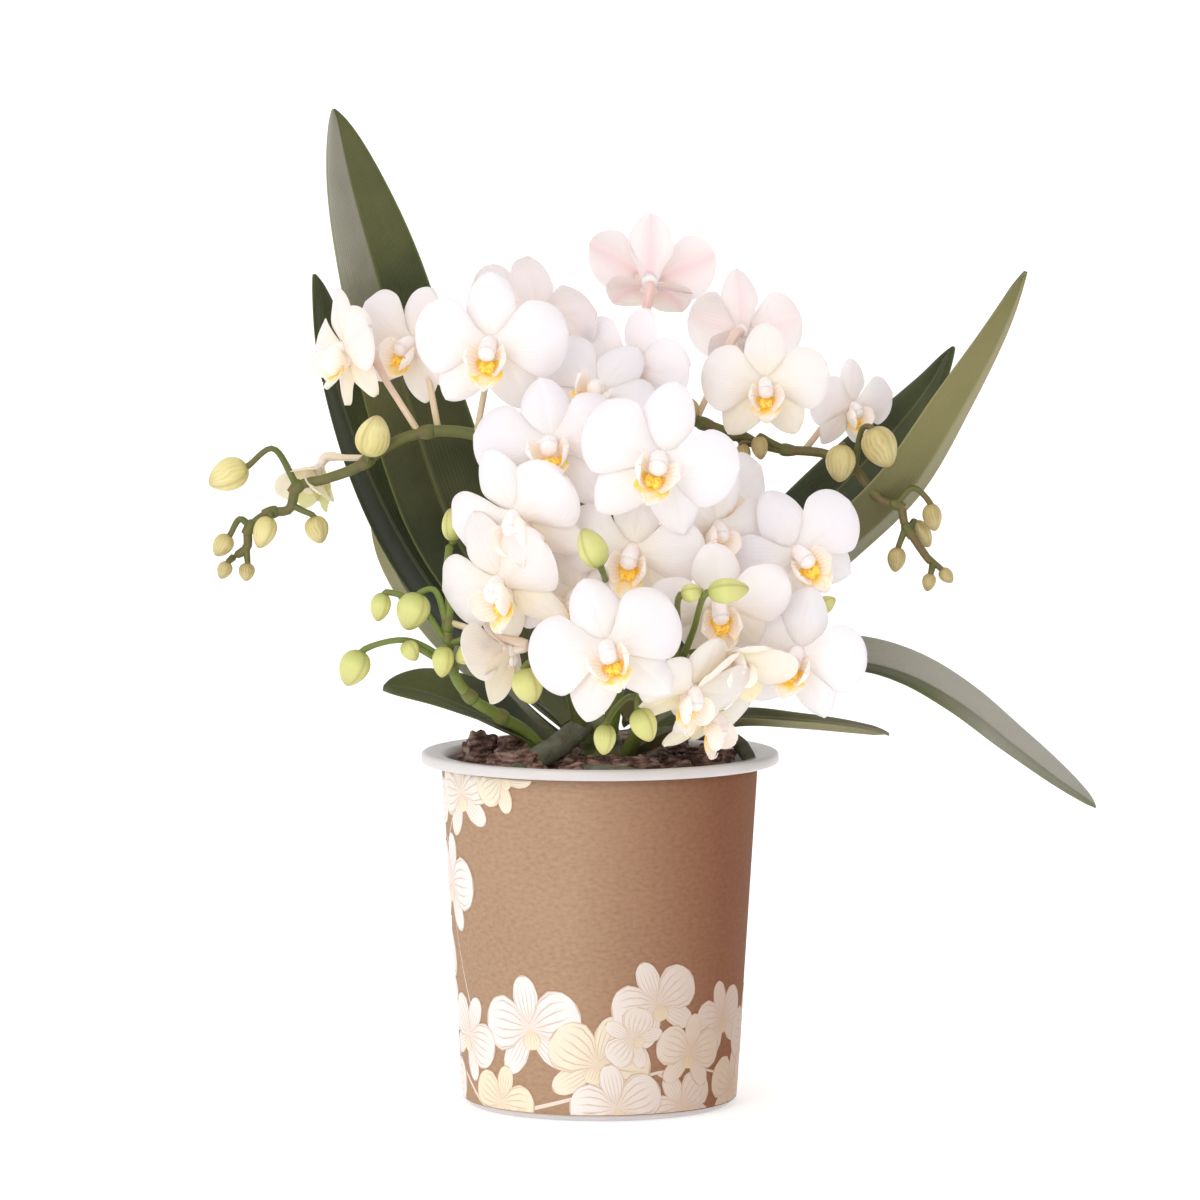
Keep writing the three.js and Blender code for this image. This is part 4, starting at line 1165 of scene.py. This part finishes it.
def make_tepal_skin(name, white, centre, vein):
    """One side of a tepal. Its tint says how yellow it is, and how pink along its middle."""
    made, tree, shader = new_finish(name)
    flat, here = place_of(tree, "UV"), place_of(tree)
    across, along = channels(tree, flat)
    yellow, pink = tint_of(tree)
    clouds = mottle(tree, here, 70.0, 2.0)
    cells = mottle(tree, here, 2600.0, 1.6)
    richness = maths(tree, "ADD", yellow, 0.35)
    heart = maths(tree, "MULTIPLY", window(tree, along, 0.6, 0.05), richness, clamp=True)
    petal = mixed(tree, maths(tree, "MULTIPLY", clouds, 0.5), white, (0.86, 0.78, 0.75))
    petal = mixed(tree, heart, petal, centre)
    petal = mixed(tree, maths(tree, "MULTIPLY", yellow, 0.85, clamp=True), petal, (0.87, 0.75, 0.43))
    petal = mixed(tree, window(tree, yellow, 1.3, 1.9), petal, (0.60, 0.60, 0.20))
    rib = maths(tree, "ABSOLUTE", maths(tree, "SUBTRACT", across, 0.5))
    near_rib = window(tree, rib, 0.28, 0.0, 0.22, 1.0)
    petal = mixed(tree, maths(tree, "MULTIPLY", pink, near_rib), petal, (0.88, 0.56, 0.60))
    lines = veins(tree, flat, 17.0, 0.07, 7.0)
    lines = maths(tree, "MULTIPLY", lines, window(tree, along, 1.0, 0.3, 0.1, 1.0))
    petal = mixed(tree, maths(tree, "MULTIPLY", lines, 0.2), petal, vein)
    plug(tree, shader, {"Base Color": petal, "Roughness": window(tree, clouds, 0, 1, 0.42, 0.58)})
    plug(tree, shader, {"Subsurface Weight": 0.5, "Subsurface Scale": 3.0 * MM})
    plug(tree, shader, {"Subsurface Radius": (1.0, 0.78, 0.58), "Sheen Weight": 0.12})
    # Painted glow: a faint warm emission stands in for light passing through the thin tepals.
    glow = mixed(tree, 1.0, petal, (1.0, 0.91, 0.93), "MULTIPLY")
    plug(tree, shader, {"Emission Color": glow, "Emission Strength": 0.07})
    height = maths(tree, "SUBTRACT", maths(tree, "MULTIPLY", cells, 0.5), lines)
    bumped(tree, shader, height, 0.09 * MM, 0.5)
    return made


petal_front = make_tepal_skin("tepal front", (0.84, 0.79, 0.84), (0.90, 0.80, 0.56), (0.79, 0.71, 0.71))
petal_back = make_tepal_skin("tepal back", (0.87, 0.80, 0.82), (0.84, 0.70, 0.58), (0.78, 0.62, 0.62))

lip_skin, tree, shader = new_finish("lip skin")
flat, here = place_of(tree, "UV"), place_of(tree)
_, along = channels(tree, flat)
middle_lobe, _ = tint_of(tree)
inner = window(tree, along, 0.85, 0.1, -0.6, 0.9)
glow = maths(tree, "ADD", mottle(tree, here, 420.0, 2.6), inner, clamp=True)
reach = maths(tree, "MULTIPLY", glow, window(tree, middle_lobe, 0, 1, 0.2, 1.0))
lip = mixed(tree, reach, (0.90, 0.83, 0.77), (0.93, 0.62, 0.07))
lines = maths(tree, "MULTIPLY", veins(tree, flat, 8.0, 0.12, 5.0), window(tree, along, 0.75, 0.3))
lines = maths(tree, "MULTIPLY", lines, window(tree, middle_lobe, 1, 0, 0.0, 0.3))
lip = mixed(tree, lines, lip, (0.74, 0.36, 0.50))
plug(tree, shader, {"Base Color": lip, "Roughness": 0.4, "Subsurface Weight": 0.35})
# Painted glow: the lip gives off a faint light of its own colour, lifting the shade inside it.
plug(tree, shader, {"Emission Color": lip, "Emission Strength": 0.13})
plug(tree, shader, {"Subsurface Scale": 2.5 * MM, "Subsurface Radius": (1.0, 0.8, 0.5)})
bumped(tree, shader, mottle(tree, here, 900.0, 2.0), 0.08 * MM, 0.5)

callus_skin, tree, shader = new_finish("callus")
here = place_of(tree)
specks = window(tree, mottle(tree, here, 1400.0, 3.0), 0.62, 0.8)
gold = mixed(tree, mottle(tree, here, 500.0, 2.0), (0.98, 0.58, 0.03), (0.98, 0.74, 0.12))
plug(tree, shader, {"Base Color": mixed(tree, specks, gold, (0.86, 0.30, 0.06)), "Roughness": 0.32})
# Painted glow: the callus gives off a faint golden light of its own.
plug(tree, shader, {"Emission Color": gold, "Emission Strength": 0.12})
bumped(tree, shader, specks, 0.08 * MM, 0.5)

column_skin, tree, shader = new_finish("column")
here = place_of(tree)
blush = window(tree, mottle(tree, here, 380.0, 2.5), 0.4, 1.0, 0.0, 0.6)
plug(tree, shader, {"Base Color": mixed(tree, blush, (0.88, 0.82, 0.80), (0.87, 0.66, 0.62))})
plug(tree, shader, {"Roughness": 0.36, "Subsurface Weight": 0.4, "Subsurface Scale": 1.5 * MM})
# Painted glow: the column gives off a faint warm light of its own.
plug(tree, shader, {"Emission Color": (1.0, 0.88, 0.80, 1.0), "Emission Strength": 0.06})
plug(tree, shader, {"Subsurface Radius": (1.0, 0.8, 0.65)})
bumped(tree, shader, mottle(tree, here, 1200.0, 2.0), 0.06 * MM, 0.5)

stalk_pale, tree, shader = new_finish("flower stalk")
flat = place_of(tree, "UV")
_, along = channels(tree, flat)
_, pink = tint_of(tree)
skin = ramp(
    tree,
    along,
    (0.0, (0.42, 0.40, 0.16)),
    (0.18, (0.72, 0.60, 0.40)),
    (0.75, (0.82, 0.68, 0.56)),
    (1.0, (0.90, 0.80, 0.72)),
)
skin = mixed(tree, maths(tree, "MULTIPLY", pink, 0.6), skin, (0.84, 0.50, 0.52))
ridges = veins(tree, flat, 6.0, 0.1, 2.0)
skin = mixed(tree, maths(tree, "MULTIPLY", ridges, 0.15), skin, (0.58, 0.44, 0.28))
plug(tree, shader, {"Base Color": skin, "Roughness": 0.45, "Subsurface Weight": 0.3})
plug(tree, shader, {"Subsurface Scale": 1 * MM, "Subsurface Radius": (1.0, 0.7, 0.4)})
bumped(tree, shader, ridges, 0.12 * MM, 0.5)

FLOWER_FINISHES = [petal_front, petal_back, lip_skin, callus_skin, column_skin, stalk_pale]
FRONT, BACK, LIP, CALLUS, COLUMN, PEDICEL = range(6)


def blade(
    solid, put, foot, along, out, outline, lift, finishes, tint, columns=14, rows=22, thick=0.42
):
    """A thin blade in a flower. It grows from its foot, and out is the way its face looks.

    outline(t) gives its half width and how far its middle line strays; lift(s, t) gives how
    far it stands off its flat, with s from -1 to 1 across it and t from 0 to 1 along it.
    """
    along, out = np.asarray(along, float), np.asarray(out, float)
    length = np.linalg.norm(along)
    way = along / length
    out = out - way * out.dot(way)
    out /= np.linalg.norm(out)
    side = np.cross(way, out)
    slants = np.linspace(-1, 1, columns + 1)
    rings, marks = [], []
    for mark in np.linspace(0, 1, rows + 1):
        t = min(math.sin(0.5 * math.pi * mark) ** 1.15, 0.9992)
        half, stray = outline(t)
        ring = []
        for upper in (1, -1):
            for s in slants if upper == 1 else slants[-2:0:-1]:
                body = 0.5 * thick * math.sqrt(max(1 - s * s, 0)) * (1 - 0.6 * t) + 0.03
                point = foot + way * length * t + side * (s * half + stray)
                point = point + out * (lift(s, t) + upper * body)
                ring.append(put(point) * MM)
        rings.append(ring)
        marks.append(t)
    us = [0.5 + 0.5 * s for s in (*slants, *slants[-2:0:-1], slants[0])]
    strips = [finishes[0]] * columns + [finishes[1]] * columns
    solid.skin(rings, us, marks, strips, tint)


def tepal_outline(width, claw, widest, blunt, skew):
    """Widens from a narrow claw to its widest place, then rounds in to its tip."""

    def outline(t):
        half = 0.5 * width * (claw + (1 - claw) * smooth(t, widest))
        past = max((t - widest * 0.8) / (1 - widest * 0.8), 0)
        return half * max(1 - past**2.2, 0) ** blunt, skew * math.sin(math.pi * t)

    return outline


def tepal_lift(behind, bulge, recurve, roll_back, crease, flutter, phase):
    """Stands forward in a soft dome, rolls back at its edges and flutters there."""

    def lift(s, t):
        dome = bulge * 4 * t * (1 - t) * (1 - 0.6 * s * s)
        back = recurve * t**3 + roll_back * s * s * min(1, 1.6 * t)
        groove = crease * math.exp(-((s / 0.09) ** 2)) * math.sin(math.pi * min(t * 1.05, 1)) ** 0.5
        wave = flutter * abs(s) ** 2.5 * math.sin(7.5 * t + phase + (2.1 if s > 0 else 0))
        wave += 0.35 * flutter * noise.noise(Vector((s * 2.2, t * 3.0, phase)))
        return behind + dome - back - groove + wave * smooth(t, 0.4)

    return lift


# A flower: its spike, its heart's place, its yaw, pitch and roll in degrees, its size against a
# full one, and how yellow, how pink and how far closed it is.
FLOWERS = {
    "flower_01": ("spike_left", (-63, -20, 191), -62, -8, 12, 0.86, 0.62, 0.4, 0),
    "flower_02": ("spike_left", (-47, -12, 192), -30, -2, -20, 0.86, 0.25, 0.15, 0),
    "flower_03": ("spike_left", (-27, -38, 193), -8, -4, -3, 1, 0.08, 0.0, 0),
    "flower_04": ("spike_front", (-16, -10, 200), 150, 25, 10, 0.95, 0.0, 0.12, 0),
    "flower_05": ("spike_right", (12.5, 3, 207), 178, 32, 4, 0.95, 0.12, 1.0, 0.38),
    "flower_06": ("spike_right", (8.5, -18, 187), -35, -12, -14, 0.85, 0.0, 0.1, 0),
    "flower_07": ("spike_right", (36, 13, 194), 155, 10, 0, 0.85, 0.05, 0.5, 0.15),
    "flower_08": ("spike_right", (41, -14, 182), 2, -6, 0, 0.84, 0.5, 0.05, 0),
    "flower_09": ("spike_right", (63, 2, 175.5), 35, -12, 0, 0.66, 0.15, 0.3, 0),
    "flower_10": ("spike_left", (-20, -52, 152), -30, -22, 24, 1, 0.2, 0.05, 0),
    "flower_11": ("spike_front", (-24, -50, 135.5), -36, -18, 20, 1, 0.45, 0.15, 0),
    "flower_12": ("spike_front", (14, -62, 166.5), 4, 0, -17, 1.05, 0.0, 0.0, 0),
    "flower_13": ("spike_front", (8, -52, 143.5), -12, -14, -10, 0.95, 0.3, 0.0, 0),
    "flower_14": ("spike_low_right", (2, -72, 121.5), -6, 0, 20, 1, 0.1, 0.0, 0),
    "flower_15": ("spike_low_right", (48.5, -38, 142), 22, -8, 32, 0.95, 0.0, 0.0, 0),
    "flower_16": ("spike_low_right", (48.5, -44, 117.5), -14, -6, -14, 0.95, 0.0, 0.05, 0),
    "flower_17": ("spike_low_right", (29, -52, 131), 4, -30, 8, 0.95, 0.25, 0.0, 0),
    "flower_18": ("spike_low_right", (33, -54, 118.5), 30, -48, 0, 0.8, 1.0, 0.0, 0.5),
    "flower_19": ("spike_low_right", (22, -60, 110.5), 35, -40, -10, 0.85, 0.65, 0.05, 0),
    "flower_20": ("spike_low_right", (28, -42, 102), 60, -45, 0, 0.8, 0.7, 0.0, 0),
    "flower_21": ("spike_low_left", (-22, -42, 118), -115, -20, 0, 0.8, 0.5, 0.1, 0.35),
    "flower_22": ("spike_front", (29, -20, 153), 30, 0, 20, 0.85, 0.1, 0.1, 0),
    "flower_23": ("spike_front", (28, -44, 149), 30, -15, -15, 0.85, 0.25, 0.0, 0),
    "flower_24": ("spike_front", (-12, -48, 169), -8, 14, 10, 1, 0.0, 0.05, 0),
    "flower_25": ("spike_front", (-1, -30, 181), 5, 28, -40, 0.9, 0.0, 0.0, 0),
    "flower_26": ("spike_front", (-6, -46, 132), -10, -6, 5, 0.9, 0.3, 0.0, 0),
    "flower_27": ("spike_left", (-70, -14, 161), -40, -45, 0, 0.62, 1.8, 0.0, 0.7),
}
CREASE = 0.32  # how deep a tepal's middle line is sunk


def make_flower(name, on, heart, yaw, pitch, roll, size, yellow, pink, closed):
    solid, rng = Solid(), random.Random(name)
    heart = np.array(heart, float)
    turn = np.array(
        Matrix.Rotation(math.radians(yaw), 3, "Z")
        @ Matrix.Rotation(math.radians(90 - pitch), 3, "X")
        @ Matrix.Rotation(math.radians(roll), 3, "Z")
    )

    def put(point):
        """Takes a place in the flower, whose face looks along +Z, to its place in the part."""
        return heart + turn @ (np.asarray(point, float) * size)

    tilt = closed * 1.1

    def tepal(angle, length, width, shape, behind, bulge, recurve, roll_back, flutter, tint):
        """shape is its claw, where it is widest, how blunt its tip is and how far it is skewed."""
        a = math.radians(angle + rng.uniform(-3.5, 3.5))
        flat = np.array([math.cos(a), math.sin(a), 0])
        lean = tilt + rng.uniform(-0.06, 0.1)
        along = flat * math.cos(lean) + np.array([0, 0, math.sin(lean)])
        along = along * length * rng.uniform(0.96, 1.04)
        out = np.array([0, 0, math.cos(lean)]) - flat * math.sin(lean)
        out += np.cross(flat, (0, 0, 1)) * rng.uniform(-0.14, 0.14)
        outline = tepal_outline(width * rng.uniform(0.95, 1.04), *shape)
        lift = tepal_lift(
            behind,
            bulge * rng.uniform(0.7, 1.3),
            recurve * rng.uniform(0.4, 1.5) * (1 - 2.5 * closed),
            roll_back * (1 - 2 * closed),
            CREASE,
            flutter,
            rng.uniform(0, 6),
        )
        blade(solid, put, flat * 0.6, along, out, outline, lift, (FRONT, BACK), tint)

    sepal_tint, petal_tint = (yellow * 1.2 + 0.1, pink), (yellow * 0.55, pink * 0.8)
    tepal(90, 17.5, 13, (0.42, 0.5, 0.58, 0), -0.6, 0.9, 1.2, 0.9, 0.35, (yellow * 0.6, pink))
    for angle, skew in ((-56, -0.8), (236, 0.8)):
        tepal(angle, 17.5, 12.5, (0.5, 0.45, 0.66, skew), -1.0, 0.8, 1.0, 0.9, 0.35, sepal_tint)
    for angle, skew in ((14, 0.9), (166, -0.9)):
        tepal(angle, 18.5, 19.8, (0.24, 0.62, 0.5, skew), 0.6, 1.5, 0.9, 1.2, 0.55, petal_tint)

    def bead(centre, way, length, width, finish):
        """A small egg-shaped part."""
        centre, way = np.array(centre, float), np.array(way, float)
        way /= np.linalg.norm(way)
        stops = [put(centre + way * length * share) for share in (-0.5, 0, 0.5)]

        def egg(t):
            return 0.5 * width * size * math.sqrt(max(1 - (2 * t - 1) ** 2, 0.02))

        tube(solid, Route(stops), egg, 12, 16, finish, (1.0, 0.0))

    def lobe_outline(width, claw, widest, blunt):
        return tepal_outline(width, claw, widest, blunt, 0)

    def lip_edge(s, t):
        return 1.9 * s * s * (1 - 0.5 * t) + 1.4 * t**3 - 0.8 * t

    lip_foot, lip_way = np.array([0, -4.6, 1.2]), np.array([0, -0.66, 0.75])
    blade(
        solid, put, lip_foot, lip_way * 9.4, (0, 0.75, 0.66),
        lobe_outline(8.8, 0.6, 0.45, 0.75), lip_edge, (LIP, LIP), (1.0, 0.0), 12, 16, 0.6,
    )
    tip = lip_foot + lip_way * 9.2 + (0, 0.5, 0.4)
    for hand in (-1, 1):
        blade(
            solid, put, np.array([hand * 1.6, -4.4, 1.0]), np.array([hand * 0.66, 0.16, 0.72]) * 8.6,
            (-hand * 0.76, 0.3, 0.5), lobe_outline(8.6, 0.62, 0.6, 0.5),
            lambda s, t: 1.5 * s * s + 2.6 * t * t, (LIP, LIP), (0.0, 0.0), 12, 14, 0.5,
        )
        curl = [(hand * 0.3, 0, -0.5), (hand * 1.1, 0.9, 0.5), (hand * 2.1, 2.3, -0.2)]
        horn = Route([put(tip + stop) for stop in curl])
        tube(solid, horn, lambda t: 0.24 * (1.1 - 0.6 * t) * size, 10, 8, LIP)
        bead((hand * 0.8, -4.9, 4.0), (0, -0.45, 1), 4.4, 2.5, CALLUS)

    def column(t):
        return size * (1.9 + 0.4 * t) * math.sqrt(1 - max(t - 0.9, 0) * 9)

    stops = [put((0, 0.6, -0.8)), put((0, 0.3, 2.6)), put((0, -1.2, 5.6))]
    tube(solid, Route(stops), column, 14, 18, COLUMN)
    bead((0, -1.4, 5.1), (0, -0.7, 1), 3.6, 4.3, COLUMN)
    bead((0, 0, -0.3), (0, 0, 1), 3.4, 4.8, COLUMN)
    bead((0, -2.6, 0.6), (0, -1, 0.4), 4.6, 4.2, COLUMN)

    facing = turn @ np.array([0, 0, 1.0])
    foot = ROUTES[on].nearest((heart - facing * 16) * MM) / MM
    behind = heart - facing * 6 * size
    stops = (foot, foot + (behind - foot) * 0.55, behind, heart - facing * 0.4)

    def stalk(t):
        return 0.82 + 0.45 * smooth(t - 0.45, 0.35) - 0.25 * smooth(t - 0.85, 0.15)

    tube(solid, Route(stops), stalk, 26, 12, PEDICEL, (yellow, pink))
    piece(name + "_bloom", solid.mesh(name, FLOWER_FINISHES), "flower", name)


for flower_name, flower in FLOWERS.items():
    make_flower(flower_name, *flower)

# ---- Floor, light and camera ----------------------------------------------------------
# A wide white floor, an all-round white light that is dimmer at the right, and one large soft
# lamp high on the left.

floor_paint, tree, shader = new_finish("studio floor")
chalk = mottle(tree, place_of(tree), 0.7, 0.3)
paint = mixed(tree, chalk, (0.93, 0.93, 0.93), (0.95, 0.95, 0.95))
plug(tree, shader, {"Base Color": paint, "Roughness": 0.9})
plug(tree, shader, {"Emission Color": (1.0, 1.0, 1.0, 1.0), "Emission Strength": 0.32})

FLOOR_REACH = 200  # metres from the middle, so that the camera doesn't see the floor's edge
corners = [(x * FLOOR_REACH, y * FLOOR_REACH, 0) for x, y in ((-1, -1), (1, -1), (1, 1), (-1, 1))]
sheet = bpy.data.meshes.new("floor")
sheet.from_pydata(corners, [], [(0, 1, 2, 3)])
sheet.materials.append(floor_paint)
floor = bpy.data.objects.new("floor", sheet)
bpy.context.scene.collection.objects.link(floor)

world = bpy.data.worlds.new("studio")
bpy.context.scene.world = world
world.use_nodes = True
air = world.node_tree
brightest = (-0.85, 0.2, 0.45)
ways = {0: place_of(air, "Generated"), 1: brightest}
away = node(air, "ShaderNodeVectorMath", ways, operation="DOT_PRODUCT")
level = window(air, away.outputs["Value"], -1.0, 0.25)
sky = mixed(air, level, (0.56, 0.53, 0.535), (1.0, 1.0, 1.0))
plug(air, air.nodes["Background"], {"Color": sky, "Strength": 1.0})

lamp = bpy.data.lights.new("soft lamp", "AREA")
lamp.shape = "DISK"
lamp.size = 1.3
lamp.energy = 10.8
lamp_stand = bpy.data.objects.new("soft lamp", lamp)
lamp_stand.location = (-0.8, -1.85, 0.95)
aim = Vector((0, 0, 0.14)) - lamp_stand.location
lamp_stand.rotation_euler = aim.to_track_quat("-Z", "Y").to_euler()
bpy.context.scene.collection.objects.link(lamp_stand)

camera = bpy.data.objects.new("camera", bpy.data.cameras.new("camera"))
camera.data.lens = 222
camera.location = (0.0, -1.85, 0.29)
aim = Vector((0, 0, 0.127)) - camera.location
camera.rotation_euler = aim.to_track_quat("-Z", "Y").to_euler()
bpy.context.scene.collection.objects.link(camera)
bpy.context.scene.camera = camera
bpy.context.scene.view_settings.view_transform = "Standard"
